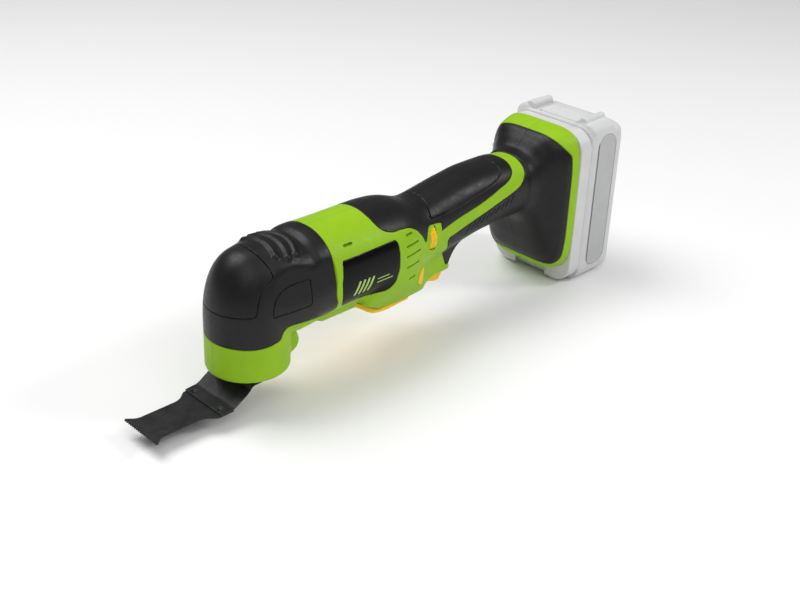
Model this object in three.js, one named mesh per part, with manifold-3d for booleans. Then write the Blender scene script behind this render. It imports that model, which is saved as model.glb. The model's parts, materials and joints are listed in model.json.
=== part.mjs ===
// Cordless oscillating multi-tool with a slide-on battery pack.
// Millimetres, +Z up. The tool lies along X, its output spindle at the -X end and the battery at the +X end.
// All shapes are written in the tool's own frame: x = 0 on the spindle axis, y = 0 on the joint of the two
// housing halves, z = 0 at the collar's lower rim. The group at the end moves that frame so that the origin
// is at the bottom centre of the whole object.
import * as THREE from "three";
import { mergeVertices } from "three/addons/utils/BufferGeometryUtils.js";
import Module from "manifold-3d";

const wasm = await Module();
wasm.setup();

// ---------------------------------------------------------------- driving dimensions
const GAP = 0.3; // clearance between pieces that touch on the real tool
const WALL = 4.2; // housing surface to its inside
const GRIP = 1.5; // thickness of the soft grip layer
const BED = GRIP + GAP; // depth of the recess that the grip lies in
const LABEL = 0.9; // thickness of the side label panels
const FACETS = { outside: 20, inside: 12 }; // facets round the housing

const COLLAR_R = 25.2;
const DOME = { base: 30, top: 74, roundness: 2.3 };
const COLLAR_FLOOR = 3;

const MOTOR_Z = 46;
const MOTOR = { front: 40, rear: 92, radius: 18, wall: 1.8, shaft: 2.5, core: 14.5 };
const SPINDLE = { radius: 6, bore: 2.6, springBore: 4.2, top: 58, bottom: -1 };
const ECCENTRIC = { throw: 0.45, journal: 4, start: 12.5, end: 20 };
const BEARING = { outer: 8, inner: 4.2, start: 13, end: 19 };
const FORK = { inner: 9.3, outer: 12.6, reach: 19, low: 40, high: 52 };

const BLADE = {
  tip: -77, flare: -70.6, neck: -41.4, crease: -33.5, hub: 17.5, // where its outline turns
  high: -3.4, shelf: -14.2, low: -15.4, thick: 1.2, // heights of its plates
  toothed: 17, narrow: 11.7, teeth: 18, toothDepth: 1.2,
};
const PIVOT = { x: 24, z: 8, ear: 7.3, pin: 2, slot: 5 }; // blade-release lever
const DIAL = { x: 129.8, y: -12.9, z: 46, radius: 10.4, width: 5.2, ribs: 20 };
const TRIGGER = {
  halfWidth: 7, top: 14, stem: [138, 143], pocket: [129.5, 157.6], ceiling: 20.5, spring: 150,
};
const SWITCH = { from: 136.5, to: 152, bottom: 32.2, top: 47, halfWidth: 9, boreTop: 39.5 };
const SCREWS = [ // x, z, and the y of the surface that each head sinks below
  [36.5, 21.5, 17.6], [100, 19.5, 18], [160, 49.3, 20.3], [203, 60, 19.6], [241, 10, 29.6], [241, 66, 29.6],
];

const LEADS = {
  red: [[97.8, 9, 50], [112, 11, 52], [126, 11.5, 52], [138, 9, 51.5], [143, 6, 50.5], [144, 5, 47.4]],
  black: [
    [97.8, 12, 42], [112, 14, 42.5], [126, 14, 44], [137, 12.4, 48], [147, 8, 51.5], [149, 4, 51],
    [149, 4, 47.6],
  ],
};

const FOOT_REAR = 256;
const RAIL = { low: -8, high: 57, neck: 13, head: 16, step: 257.6, end: 260.6 };
const TERMINALS = { high: 67, tabHigh: 75, tabs: [-9, 0, 9] };
const PACK = { front: 256.4, split: 267.5, back: 301, bottom: -26, top: 87, half: 35, wall: 2.2 };
const NUB = { y: 22.5, z: 89.2, radius: 3.1, from: 269.5, to: 290 };
const CELL = { radius: 9.15, length: 65, x: 289.3, pitch: 19, count: 5, first: -7.5 };

// Housing sections along X: [x, top, bottom, half width, roundness of the section].
const BODY = [
  [-6, 71.5, 20, 17, 2], [0, 73.2, 16, 23.3, 2.1], [5, 74, 15.6, 25.4, 2.2], [10, 74.3, 15.3, 26.4, 2.3],
  [20, 73.8, 15, 27.2, 2.45], [26, 72.9, 15.2, 27.5, 2.4], [31, 72.4, 15.7, 27.8, 2.35],
  [36.5, 74.6, 16.2, 28.1, 2.27], [42, 75.2, 16.7, 28.3, 2.2], [50, 74.8, 17.1, 28.5, 2.15],
  [72, 74.8, 17.3, 28.7, 2.1], [92, 74.9, 17.3, 28.7, 2.1], [104, 74, 18.2, 27.9, 2.15],
  [111, 72.7, 19, 26.6, 2.2], [118, 70.4, 19.8, 25, 2.2], [124, 68.5, 20.6, 23.3, 2.2],
  [130, 67.8, 21.3, 22, 2.2], [145, 69.8, 23.5, 20.6, 2.25], [165, 72.7, 27, 20.5, 2.3],
  [185, 74.5, 30, 20.8, 2.3], [205, 74.3, 31, 20.9, 2.3], [222, 72.5, 31, 20.5, 2.3],
  [236, 72, 31, 20.5, 2.3],
];
const FOOT = [
  [222, 72.4, 31, 20.4, 2.6], [229, 74.5, 24, 21.6, 3], [235, 80.5, 8, 24.8, 3.8], [240, 85, -3.5, 29, 4.4],
  [243, 86.2, -7.6, 31.2, 4.5], [245.5, 86.8, -11.6, 32.6, 4.6], [248, 87.3, -13.6, 33.2, 4.7],
  [FOOT_REAR, 88.4, -14.6, 34.3, 5],
];
// The flat that runs along each side of the head: y = from + along * x + lean * (height - z).
const FACET = { from: 20.7, along: 0.088, lean: 0.22, height: 63, end: 44.3 };

// Side outlines [x, z] of the belly and trigger guard, the soft grips and the label panels.
const UNDERSIDE = [
  [74, 40], [74, 18.5], [80, 14.8], [86, 11.4], [91, 8.6], [95, 8], [122, 8], [129, 9], [134, 10.3],
  [140, 11.8], [146, 12.3], [153, 11.3], [159.5, 10.8], [161, 12.2], [160.4, 15], [162.3, 19], [167.3, 24],
  [177, 28.6], [186, 33], [186, 40],
];
const UNDERSIDE_WIDTH = [ // half width at x
  [74, 19], [80, 22.5], [92, 25.5], [108, 25], [118, 22], [126, 18.5], [134, 14], [145, 11.4], [158, 9.6],
  [186, 7],
];
const UNDERSIDE_FRONT = [[-15.5, 8], [15.5, 8], [34, 41.6], [-34, 41.6]]; // [y, z], the slant of its sides
// The skirts beside the lever, [y, z].
const SKIRT = [[9.9, 13.4], [11.4, 13.9], [13.2, 15.6], [16.5, 21.4], [9.9, 22.6]];
const SKIRT_REACH = [43, 73.5];
const HEAD_ZONE = [
  [-30, 22.3], [0, 22.3], [5, 23.2], [8, 26.5], [12, 28.5], [22, 28.3], [34, 26.5], [41, 24.3], [46, 23.5],
  [48.6, 26], [47.8, 32], [45.2, 38], [44.3, 50], [44.3, 82], [-30, 82],
];
const NOSE_ZONE = [
  [-30, 42], [-11.2, 42], [-9.8, 44.6], [-8.6, 49.4], [-6, 54.5], [-2, 58], [3.3, 61], [3.1, 65], [2.2, 69.5],
  [0.7, 73.5], [0.7, 82], [-30, 82],
];
const HUMP_ZONE = [
  [82.5, 82], [82.5, 72], [84, 68], [87, 65.2], [92, 63.3], [100, 62.6], [107, 61.5], [113, 58.3], [118, 53],
  [120.5, 48.9], [122.3, 47], [123.6, 49.5], [124.9, 52.5], [126.8, 55.1], [130.4, 55.4], [130.4, 82],
];
const HANDLE_ZONE = [
  [130.4, 82], [130.4, 55.4], [138.7, 54.3], [138.7, 48.6], [150, 51.5], [175, 56.5], [193, 61.5],
  [204, 64.8], [209, 68.3], [211.5, 74], [211.5, 82],
];
const REAR_ZONE = [
  [147, 41.5], [149.5, 31], [153.5, 21], [156, 15.4], [159.3, 15.2], [164, 17], [230, 17], [230, -8],
  [245.5, -8], [249.5, -2], [249.5, 73], [244.5, 79], [241.5, 84], [241.5, 95], [221.5, 95], [221.5, 74],
  [219.5, 65], [214, 59.5], [204, 56], [192, 53], [169, 47], [151, 42.5],
];
const LABEL_ZONE = [
  [50.1, 58.8], [49.3, 52], [48.7, 45.4], [50.2, 36], [53.2, 28.2], [54.6, 26.5], [82, 26.2], [90, 26.8],
  [94.2, 30], [95.4, 37], [95.2, 46], [94.6, 57], [92.4, 59.3],
];
const VENTS = [[102, 108, 58.8], [101, 113, 52.2], [101, 115, 45.6], [102, 115, 37.6], [107, 114, 27.6]];
const LOCK_OUTLINE = [
  [125, 28.8], [126, 26.4], [126, 21], [124.8, 18], [121.3, 17], [119, 19.6], [119, 22.8], [121.6, 25.8],
];
const TRIGGER_SIDE = [
  [130.4, TRIGGER.top], [130.4, 9.4], [137, 6.3], [145, 5.6], [150.5, 4], [154, 4.4], [156.4, 7.5],
  [156.4, TRIGGER.top],
];

// ---------------------------------------------------------------- shape helpers
function signedVolume(position, index) {
  const corner = [new THREE.Vector3(), new THREE.Vector3(), new THREE.Vector3()];
  let volume = 0;
  for (let i = 0; i < index.length; i += 3) {
    corner.forEach((point, k) => point.fromArray(position, 3 * index[i + k]));
    volume += corner[0].dot(corner[1].clone().cross(corner[2])) / 6;
  }
  return volume;
}

// A closed three.js geometry as a solid that can be joined and cut.
function solid(geometry) {
  geometry.deleteAttribute("normal");
  geometry.deleteAttribute("uv");
  const merged = mergeVertices(geometry, 1e-4);
  const position = new Float32Array(merged.attributes.position.array);
  const index = [];
  for (let i = 0; i < merged.index.count; i += 3) {
    const [a, b, c] = [0, 1, 2].map((k) => merged.index.getX(i + k));
    if (a !== b && b !== c && c !== a) index.push(a, b, c);
  }
  if (signedVolume(position, index) < 0) index.reverse();
  const triangles = new Uint32Array(index);
  return new wasm.Manifold(new wasm.Mesh({ numProp: 3, vertProperties: position, triVerts: triangles }));
}

const join = (...solids) => solids.reduce((sum, next) => sum.add(next));
const cut = (base, ...tools) => tools.reduce((rest, tool) => rest.subtract(tool), base);
const common = (...solids) => solids.reduce((rest, next) => rest.intersect(next));

function box([x0, x1], [y0, y1], [z0, z1]) {
  const geometry = new THREE.BoxGeometry(x1 - x0, y1 - y0, z1 - z0);
  return solid(geometry.translate((x0 + x1) / 2, (y0 + y1) / 2, (z0 + z1) / 2));
}

const TURN = { x: [0, 0, -Math.PI / 2], y: [0, 0, 0], z: [Math.PI / 2, 0, 0] };

// A round bar along an axis, from one coordinate to another; "at" gives the other two, in X, Y, Z order.
function rod(axis, radius, from, to, at = [0, 0], facets = 24) {
  const geometry = new THREE.CylinderGeometry(radius, radius, to - from, facets);
  const [turnX, , turnZ] = TURN[axis];
  geometry.rotateX(turnX).rotateZ(turnZ);
  const centre = { x: [0, ...at], y: [at[0], 0, at[1]], z: [...at, 0] }[axis];
  centre["xyz".indexOf(axis)] = (from + to) / 2;
  return solid(geometry.translate(...centre));
}

const ring = (axis, outer, inner, from, to, at, facets) =>
  cut(rod(axis, outer, from, to, at, facets), rod(axis, inner, from - 1, to + 1, at, facets));

// A turned piece about Z from [radius, z] points.
function turned(profile, facets = 36) {
  const geometry = new THREE.LatheGeometry(profile.map(([r, z]) => new THREE.Vector2(r, z)), facets);
  return solid(geometry.rotateX(Math.PI / 2));
}

// A flat outline made thick: "side" is drawn in x,z, "front" in y,z and "plan" in x,y.
function slab(outline, plane, [low, high], { bevel = 0, arc = 2 } = {}) {
  const toShape = (points) => new THREE.Shape(points.map(([u, v]) => new THREE.Vector2(u, v)));
  const shape = Array.isArray(outline) ? toShape(outline) : outline;
  const geometry = new THREE.ExtrudeGeometry(shape, {
    depth: high - low - 2 * bevel, bevelEnabled: bevel > 0, bevelThickness: bevel, bevelSize: bevel,
    bevelOffset: -bevel, bevelSegments: 2, curveSegments: arc,
  });
  const x = new THREE.Vector3(1, 0, 0);
  const y = new THREE.Vector3(0, 1, 0);
  const z = new THREE.Vector3(0, 0, 1);
  const frames = { side: [x, z, y.clone().negate()], front: [y, z, x], plan: [x, y, z] };
  geometry.applyMatrix4(new THREE.Matrix4().makeBasis(...frames[plane]));
  const start = plane === "side" ? -(high - bevel) : low + bevel;
  return solid(geometry.translate(...frames[plane][2].clone().multiplyScalar(start).toArray()));
}

function roundRect(u0, u1, v0, v1, r) {
  const shape = new THREE.Shape();
  shape.absarc(u1 - r, v0 + r, r, -Math.PI / 2, 0);
  shape.absarc(u1 - r, v1 - r, r, 0, Math.PI / 2);
  shape.absarc(u0 + r, v1 - r, r, Math.PI / 2, Math.PI);
  shape.absarc(u0 + r, v0 + r, r, Math.PI, 1.5 * Math.PI);
  return shape;
}

// An outline moved outwards (or inwards, if negative) by a distance.
function grow(outline, distance) {
  const points = outline.map(([u, v]) => new THREE.Vector2(u, v));
  const turn = THREE.ShapeUtils.isClockWise(points) ? -1 : 1;
  const normal = (a, b) => new THREE.Vector2(b.y - a.y, a.x - b.x).normalize().multiplyScalar(turn);
  return points.map((point, i) => {
    const n1 = normal(points.at(i - 1), point);
    const n2 = normal(point, points[(i + 1) % points.length]);
    const sum = n1.clone().add(n2);
    return point.clone().addScaledVector(sum, distance / (1 + n1.dot(n2))).toArray();
  });
}

function power(value, exponent) {
  const size = Math.abs(value);
  return size < 1e-6 ? 0 : Math.sign(value) * size ** exponent;
}

// A closed skin through rounded sections that stand across X.
function loft(sections, facets = FACETS.outside) {
  const geometry = new THREE.CylinderGeometry(1, 1, 1, facets, sections.length - 1);
  const position = geometry.attributes.position;
  for (let i = 0; i < position.count; i += 1) {
    const row = Math.round((0.5 - position.getY(i)) * (sections.length - 1));
    const [x, top, bottom, halfWidth, roundness] = sections[row];
    const across = power(position.getZ(i), 2 / roundness);
    const up = power(position.getX(i), 2 / roundness);
    position.setXYZ(i, x, halfWidth * across, (top + bottom) / 2 + ((top - bottom) / 2) * up);
  }
  return solid(geometry);
}

function spring([x, y], radius, low, high, turns, wire) {
  const path = new THREE.Curve();
  path.getPoint = (t) => {
    const angle = 2 * Math.PI * turns * t;
    const [across, along] = [radius * Math.cos(angle), radius * Math.sin(angle)];
    return new THREE.Vector3(x + across, y + along, low + (high - low) * t);
  };
  const section = new THREE.Shape().absarc(0, 0, wire, 0, 2 * Math.PI);
  const options = { steps: turns * 8, curveSegments: 2.5, extrudePath: path };
  return solid(new THREE.ExtrudeGeometry(section, options));
}

function lead(points, radius = 1) {
  const path = new THREE.CatmullRomCurve3(points.map((point) => new THREE.Vector3(...point)));
  const section = new THREE.Shape().absarc(0, 0, radius, 0, 2 * Math.PI);
  return solid(new THREE.ExtrudeGeometry(section, { steps: 18, curveSegments: 4, extrudePath: path }));
}

// ---------------------------------------------------------------- housing and what is moulded on it
function shrink(sections, inset, shift = 0) {
  return sections.map(([x, top, bottom, halfWidth, roundness]) => [
    x + shift, top - inset, bottom + inset, halfWidth - inset, roundness,
  ]);
}

function column(inset, floor, facets = FACETS.outside + 4) {
  const radius = COLLAR_R - inset;
  const height = DOME.top - inset - DOME.base;
  const steps = 6;
  const profile = [[0, floor], [radius - 1, floor], [radius, floor + 1]];
  for (let i = 0; i <= steps; i += 1) {
    const angle = (Math.PI / 2) * (i / steps);
    const across = radius * power(Math.cos(angle), 2 / DOME.roundness);
    profile.push([across, DOME.base + height * power(Math.sin(angle), 2 / DOME.roundness)]);
  }
  return turned(profile, facets);
}

function underside(inset) {
  const plan = [...UNDERSIDE_WIDTH, ...UNDERSIDE_WIDTH.map(([x, half]) => [x, -half]).reverse()];
  const side = slab(grow(UNDERSIDE, -inset), "side", [-30, 30]);
  const front = slab(grow(UNDERSIDE_FRONT, -inset), "front", [60, 200]);
  return common(side, slab(grow(plan, -inset), "plan", [0, 60]), front);
}

function leverSkirts() {
  return join(...[-1, 1].map((side) => slab(SKIRT.map(([y, z]) => [side * y, z]), "front", SKIRT_REACH)));
}

function facetCuts(inset) {
  const { from, along, lean, height, end } = FACET;
  const steep = Math.hypot(1, along, lean);
  const offset = (from + lean * height) / steep - inset;
  return [-1, 1].map((side) => {
    const block = box([-12, end], side < 0 ? [-50, -10] : [10, 50], [34, 90]);
    return block.trimByPlane([-along / steep, side / steep, lean / steep], offset);
  });
}

// The outside of the housing with its surface moved in by "inset".
function envelope(inset) {
  const body = loft(shrink(BODY, inset, inset / 2));
  const whole = join(column(inset, 0), body, loft(shrink(FOOT, inset, inset)));
  return join(cut(whole, ...facetCuts(inset)), underside(inset));
}

function cavity() {
  const belly = box([90.5, 124], [-13.4, 13.4], [12.4, 36]);
  const { inside } = FACETS;
  const tube = join(column(WALL, COLLAR_FLOOR, inside + 6), loft(shrink(BODY, WALL, WALL / 2), inside));
  return join(cut(tube, ...facetCuts(WALL)), loft(shrink(FOOT, WALL, WALL), inside), belly);
}

const outside = { whole: envelope(0), bed: envelope(BED), grip: envelope(GRIP), label: envelope(LABEL) };
const HALF = { left: [-60, -GAP / 2], right: [GAP / 2, 60] };

function leverEars() {
  const boss = rod("y", PIVOT.ear, -11, 11, [PIVOT.x, PIVOT.z]);
  const web = box([12, PIVOT.x + 5], [-11, 11], [PIVOT.z - 4, 18]);
  const gearboxRoom = rod("z", 19.8, -2, 30, [0, 0], 32);
  return cut(join(boss, web), box([0, PIVOT.x + 12], [-PIVOT.slot, PIVOT.slot], [-2, 16.4]), gearboxRoom);
}

function screwPosts() {
  return join(...SCREWS.map(([x, z]) => rod("y", 3.8, -30, 30, [x, z], 8)));
}

function screwHoles() {
  return join(...SCREWS.flatMap(([x, z, y]) => [
    rod("y", 1.8, -12, y, [x, z], 8), rod("y", 3.5, y - 4.4, y + 8, [x, z], 12),
  ]));
}

function housingOpenings() {
  const teardrop = slab(grow(LOCK_OUTLINE, GAP), "side", [-30, 30]);
  const dialReach = DIAL.width / 2 + 0.5;
  const dialSlot = rod("x", DIAL.radius + 0.5, DIAL.x - dialReach, DIAL.x + dialReach, [DIAL.y, DIAL.z], 32);
  const pocket = box(TRIGGER.pocket, [-7.6, 7.6], [0, TRIGGER.ceiling]);
  const stemSlot = box([136.8, 144.2], [-3.5, 3.5], [TRIGGER.ceiling - 1, 31]);
  const springSeat = rod("z", 3.2, TRIGGER.ceiling - 1, 26, [TRIGGER.spring, 0], 16);
  const spindleHole = rod("z", 14.6, -1, COLLAR_FLOOR + 1, [0, 0], 32);
  const leverSlot = box([10, PIVOT.x + 12], [-PIVOT.slot, PIVOT.slot], [-1, 16.4]);
  const leverBed = box([PIVOT.x + PIVOT.ear + 0.6, 82.5], [-9.6, 9.6], [8, 17.6]);
  const pinHole = rod("y", PIVOT.pin + GAP, -10, 10, [PIVOT.x, PIVOT.z], 12);
  const vents = [-1, 1].flatMap((side) => VENTS.map(([from, to, z]) =>
    box([from, to], side < 0 ? [-32, -12] : [12, 32], [z - 0.8, z + 0.8])));
  const pockets = join(pocket, stemSlot, springSeat, leverSlot, leverBed);
  return join(teardrop, dialSlot, pockets, spindleHole, pinHole, ...vents);
}

function housingShell() {
  const zones = [HEAD_ZONE, HUMP_ZONE, HANDLE_ZONE, REAR_ZONE];
  const grips = join(...zones.map((zone) => slab(zone, "side", [-60, 60])));
  const labels = slab(LABEL_ZONE, "side", [-60, 60]);
  const skin = cut(outside.whole, cut(grips, outside.bed), cut(labels, envelope(LABEL + GAP)));
  const posts = common(screwPosts(), outside.bed);
  const hollow = cut(cavity(), posts);
  const whole = join(cut(skin, hollow), leverEars(), leverSkirts());
  return cut(whole, housingOpenings(), screwHoles(), motorSeat());
}

const half = (whole, side) => common(whole, box([-100, 320], HALF[side], [-60, 120]));

function gripPiece(zone, side, inset = GAP / 2) {
  const layer = cut(outside.whole, outside.grip);
  return common(slab(grow(zone, -inset), "side", HALF[side]), layer);
}

const headGrip = (side) => cut(gripPiece(HEAD_ZONE, side), slab(grow(NOSE_ZONE, GAP), "side", [-60, 60]));

function noseCap() {
  return common(slab(NOSE_ZONE, "side", [-60, 60]), cut(outside.whole, outside.grip));
}

function rearGrip(side) {
  const holes = SCREWS.slice(-2).map(([x, z]) => rod("y", 3.8, 0, 60, [x, z], 16));
  const whole = cut(gripPiece(REAR_ZONE, side), box(TRIGGER.pocket, [-7.6, 7.6], [0, TRIGGER.ceiling]));
  return side === "right" ? cut(whole, ...holes) : whole;
}

function labelPanel(side) {
  const layer = cut(outside.whole, outside.label);
  const reach = side === "left" ? [-60, -8] : [8, 60];
  return common(slab(grow(LABEL_ZONE, -GAP), "side", reach), layer);
}

function screw(x, z, surface) {
  const head = rod("y", 2.9, surface - 4, surface - 1.8, [x, z], 16);
  const socket = rod("y", 1.5, surface - 3.2, surface, [x, z], 6);
  return join(cut(head, socket), rod("y", 1.4, -11, surface - 3.9, [x, z], 10));
}

// ---------------------------------------------------------------- gearbox, spindle and blade
function gearboxCase() {
  const shell = turned([
    [0, 4.6], [17.6, 4.6], [19.4, 8], [19.4, 44], [17, 53], [13.6, 60], [13.6, 61.6], [0, 61.6],
  ]);
  const neck = rod("x", 18.6, 8, 28, [0, MOTOR_Z], 32);
  const room = turned([[0, 16], [16.6, 16], [16.6, 44], [14.4, 52.6], [0, 52.6]], 28);
  const tunnel = rod("x", 16, 0, 30, [0, MOTOR_Z], 28);
  const lowerSeat = rod("z", 11.3, 0, 13.4, [0, 0], 28);
  const passage = rod("z", 8.6, 10, 20, [0, 0], 28);
  const upperSeat = rod("z", 11.3, 50, 59.4, [0, 0], 28);
  const leverRoom = box([9.5, 30], [-PIVOT.slot, PIVOT.slot], [0, 15]);
  return cut(join(shell, neck), room, tunnel, lowerSeat, passage, upperSeat, leverRoom);
}

const spindleBearing = (low, high) => ring("z", 11, SPINDLE.radius + GAP / 2, low, high, [0, 0], 28);

function spindle() {
  const { radius, bore, springBore, top, bottom } = SPINDLE;
  return turned([
    [bore, bottom], [radius, bottom], [radius, top], [springBore, top], [springBore, 26], [bore, 26],
    [bore, bottom],
  ], 24);
}

function oscillatingFork() {
  const { inner, outer, reach, low, high } = FORK;
  const hub = rod("z", 10, low, high, [0, 0], 24);
  const bridge = box([-6, 8], [-outer, outer], [low, high]);
  const arms = [[-outer, -inner], [inner, outer]].map((span) => box([2, reach], span, [low, high]));
  const sweep = rod("x", inner, 8.6, reach + 2, [0, MOTOR_Z], 24);
  const seat = rod("z", SPINDLE.radius + GAP / 2, low - 1, high + 1, [0, 0], 24);
  return cut(join(hub, bridge, ...arms), sweep, seat);
}

const onCircle = (count, radius) => Array.from({ length: count }, (_, i) => {
  const angle = (2 * Math.PI * (i + 0.5)) / count;
  return [radius * Math.cos(angle), radius * Math.sin(angle)];
});

function bladeFlange() {
  const fit = SPINDLE.radius + 0.2;
  const under = BLADE.high + GAP;
  const disc = turned([
    [fit, 2.6], [fit, -1.1], [2.8, -1.3], [2.8, under], [13.6, under], [13.6, -1], [9, 2.6], [fit, 2.6],
  ], 32);
  const pins = onCircle(4, 10.5).map((at) => rod("z", 1.5, BLADE.high - 1.1, BLADE.high + 1, at, 10));
  return join(disc, ...pins);
}

// The blade is a stepped hub plate with the thinner toothed plate welded under its end.
function blade() {
  const { tip, flare, neck, crease, hub, high, shelf, low, thick } = BLADE;
  const { toothed, narrow, teeth, toothDepth } = BLADE;
  const pitch = (2 * toothed) / teeth;
  const notches = Array.from({ length: teeth }, (_, i) => {
    const y = toothed - (i + 0.5) * pitch;
    const root = [tip + toothDepth, y];
    return slab([root, [tip - toothDepth, y + pitch], [tip - toothDepth, y - pitch]], "plan", [-20, -10]);
  });
  const back = Array.from({ length: 13 }, (_, i) => {
    const angle = -Math.PI / 2 + (Math.PI * i) / 12;
    return [hub * Math.cos(angle), hub * Math.sin(angle)];
  });
  const hubPlan = [...back, [crease, hub], [crease, -hub]];
  const toothPlan = [
    [tip, toothed], [tip, -toothed], [flare, -narrow], [neck, -narrow], [crease - 1.5, 0.3 - hub],
    [-24, 0.3 - hub], [-24, hub - 0.3], [crease - 1.5, hub - 0.3], [neck, narrow], [flare, narrow],
  ];
  const hubSide = [
    [hub + 1, high], [-9.6, high], [-13, -7.4], [-24.3, shelf + 0.4], [crease, shelf], [crease, low],
    [-24.9, low + 0.2], [-13.9, -8.5], [-10.2, high - thick], [hub + 1, high - thick],
  ];
  const holes = onCircle(4, 10.5).map((at) => rod("z", 1.8, high - 3, high + 1, at, 10));
  const hubPlate = common(slab(hubPlan, "plan", [-20, 0]), slab(hubSide, "side", [-20, 20]));
  const toothSpan = box([tip - 1, 0], [-20, 20], [low - 1, low + 0.1]);
  const toothPlate = cut(common(slab(toothPlan, "plan", [-20, 0]), toothSpan), ...notches);
  return cut(join(hubPlate, toothPlate), rod("z", 5.2, high - 3, high + 1, [0, 0], 24), ...holes);
}

function clampBolt() {
  const under = BLADE.high - BLADE.thick - GAP;
  return turned([
    [0, under - 2.6], [6.5, under - 2.6], [8.6, under - 1], [8.6, under], [2.3, under], [2.3, 50.4],
    [3.9, 50.4], [3.9, 53], [0, 53],
  ], 28);
}

// The release lever lies flush under the neck and barrel and ends in a wide paddle under the belly.
function releaseLever() {
  const clear = PIVOT.x + PIVOT.ear + 0.8;
  const inEars = [-PIVOT.slot + GAP, PIVOT.slot - GAP];
  const arm = [
    [18, 12], [15.6, 9], [16.5, 5.5], [21, 3.2], [27, 3.4], [30, 7], [clear, 12.2], [clear, 15.6], [26, 15.2],
  ];
  const strip = [
    [clear - 1, 12.4], [50, 13.8], [70, 14.4], [76, 12.6], [87.6, 6.2], [90, 5.6], [118, 5.6], [121.6, 7.7],
    [91.6, 7.7], [88.4, 8.4], [78.6, 14], [75, 16.2], [50, 16.4], [clear - 1, 15.6],
  ];
  const plan = [
    [clear, -9], [74, -9], [84, -14.6], [118, -14.6], [122, -11], [122, 11], [118, 14.6], [84, 14.6], [74, 9],
    [clear, 9],
  ];
  const wide = common(slab(strip, "side", [-15, 15]), slab(plan, "plan", [0, 30]));
  const pinHole = rod("y", PIVOT.pin + GAP, -20, 20, [PIVOT.x, PIVOT.z], 16);
  return cut(join(slab(arm, "side", inEars), slab(strip, "side", inEars), wide), pinHole);
}

// ---------------------------------------------------------------- motor
function motorSeat() {
  return rod("x", MOTOR.radius + GAP, MOTOR.front, 97.6, [0, MOTOR_Z], 32);
}

function motorCan() {
  const { front, rear, radius, wall, shaft } = MOTOR;
  const nose = ring("x", 6, shaft + 0.4, front - 1.6, front + 1, [0, MOTOR_Z]);
  const drum = rod("x", radius, front, rear, [0, MOTOR_Z], 32);
  const room = rod("x", radius - wall, front + 2, rear + 1, [0, MOTOR_Z], 32);
  return join(cut(drum, room, rod("x", shaft + 0.4, front - 1, front + 3, [0, MOTOR_Z], 24)), nose);
}

function motorEndBell() {
  const { rear, radius, shaft } = MOTOR;
  const disc = ring("x", radius, shaft + 0.4, rear + GAP, rear + 4, [0, MOTOR_Z], 32);
  const boss = ring("x", 6, shaft + 0.4, rear + 3, rear + 5.5, [0, MOTOR_Z]);
  const brushes = [-9.3, 9.3].map((at) =>
    box([rear - 6, rear + 2], [-3, 3], [MOTOR_Z + at - 2.7, MOTOR_Z + at + 2.7]));
  return join(disc, boss, ...brushes);
}

function rotorShaft() {
  return join(rod("x", MOTOR.shaft, 10, 98.5, [0, MOTOR_Z], 16), rod("x", 5.4, 85.2, 91.5, [0, MOTOR_Z], 20));
}

function armatureCore() {
  const slots = Array.from({ length: 5 }, (_, i) => {
    const angle = (2 * Math.PI * i) / 5;
    return rod("x", 2.6, 45, 84, [13 * Math.cos(angle), MOTOR_Z + 13 * Math.sin(angle)], 8);
  });
  return cut(ring("x", MOTOR.core, MOTOR.shaft + 0.2, 46.5, 83, [0, MOTOR_Z], 30), ...slots);
}

function coolingFan() {
  const plate = rod("x", 16.4, 31.2, 32.4, [0, MOTOR_Z], 30);
  const hub = rod("x", 5.4, 31.2, 37, [0, MOTOR_Z], 20);
  const blades = Array.from({ length: 9 }, (_, i) => {
    const geometry = new THREE.BoxGeometry(5, 1.2, 12).translate(34.4, 0, 10);
    return solid(geometry.rotateX((2 * Math.PI * i) / 9).translate(0, 0, MOTOR_Z));
  });
  return cut(join(plate, hub, ...blades), rod("x", MOTOR.shaft + 0.2, 30, 40, [0, MOTOR_Z], 16));
}

function eccentric() {
  const { throw: offset, journal, start, end } = ECCENTRIC;
  const pin = rod("x", journal, start - 1, end, [0, MOTOR_Z + offset], 20);
  const collar = rod("x", 6, end, 27, [0, MOTOR_Z], 20);
  return cut(join(pin, collar), rod("x", MOTOR.shaft + 0.2, 5, 30, [0, MOTOR_Z], 16));
}

function driveBearing() {
  const { outer, inner, start, end } = BEARING;
  return ring("x", outer, inner, start, end, [0, MOTOR_Z + ECCENTRIC.throw], 24);
}

// ---------------------------------------------------------------- controls and electrics
function speedDial() {
  const { x, y, z, radius, width, ribs } = DIAL;
  const notches = Array.from({ length: ribs }, (_, i) => {
    const angle = (2 * Math.PI * i) / ribs;
    const at = [y + radius * Math.cos(angle), z + radius * Math.sin(angle)];
    return rod("x", 0.6, x - width, x + width, at, 6);
  });
  return cut(rod("x", radius, x - width / 2, x + width / 2, [y, z], 40), ...notches);
}

function trigger() {
  const { halfWidth, top, stem, spring: springX } = TRIGGER;
  const body = slab(TRIGGER_SIDE, "side", [-halfWidth, halfWidth], { bevel: 1.2 });
  const push = box(stem, [-2.8, 2.8], [top - 1, 33]);
  return cut(join(body, push), rod("z", 3.2, top - 3, top + 1, [springX, 0], 16));
}

const lockButton = () => slab(LOCK_OUTLINE, "side", [-19.4, 19.4], { bevel: 0.6 });

function triggerSwitch() {
  const { from, to, bottom, top, halfWidth, boreTop } = SWITCH;
  const bore = box([137.3, 143.7], [-3.4, 3.4], [bottom - 1, boreTop]);
  return cut(box([from, to], [-halfWidth, halfWidth], [bottom, top]), bore);
}

function controlBoard() {
  const board = box([160, 198], [-12, 12], [54, 55.6]);
  const parts = [[164, -7, 6], [172, 4, 9], [181, -5, 5], [190, 5, 4]];
  return join(board, ...parts.map(([x, y, h]) => box([x, x + 6], [y - 3, y + 3], [55, 55.6 + h])));
}

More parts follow.
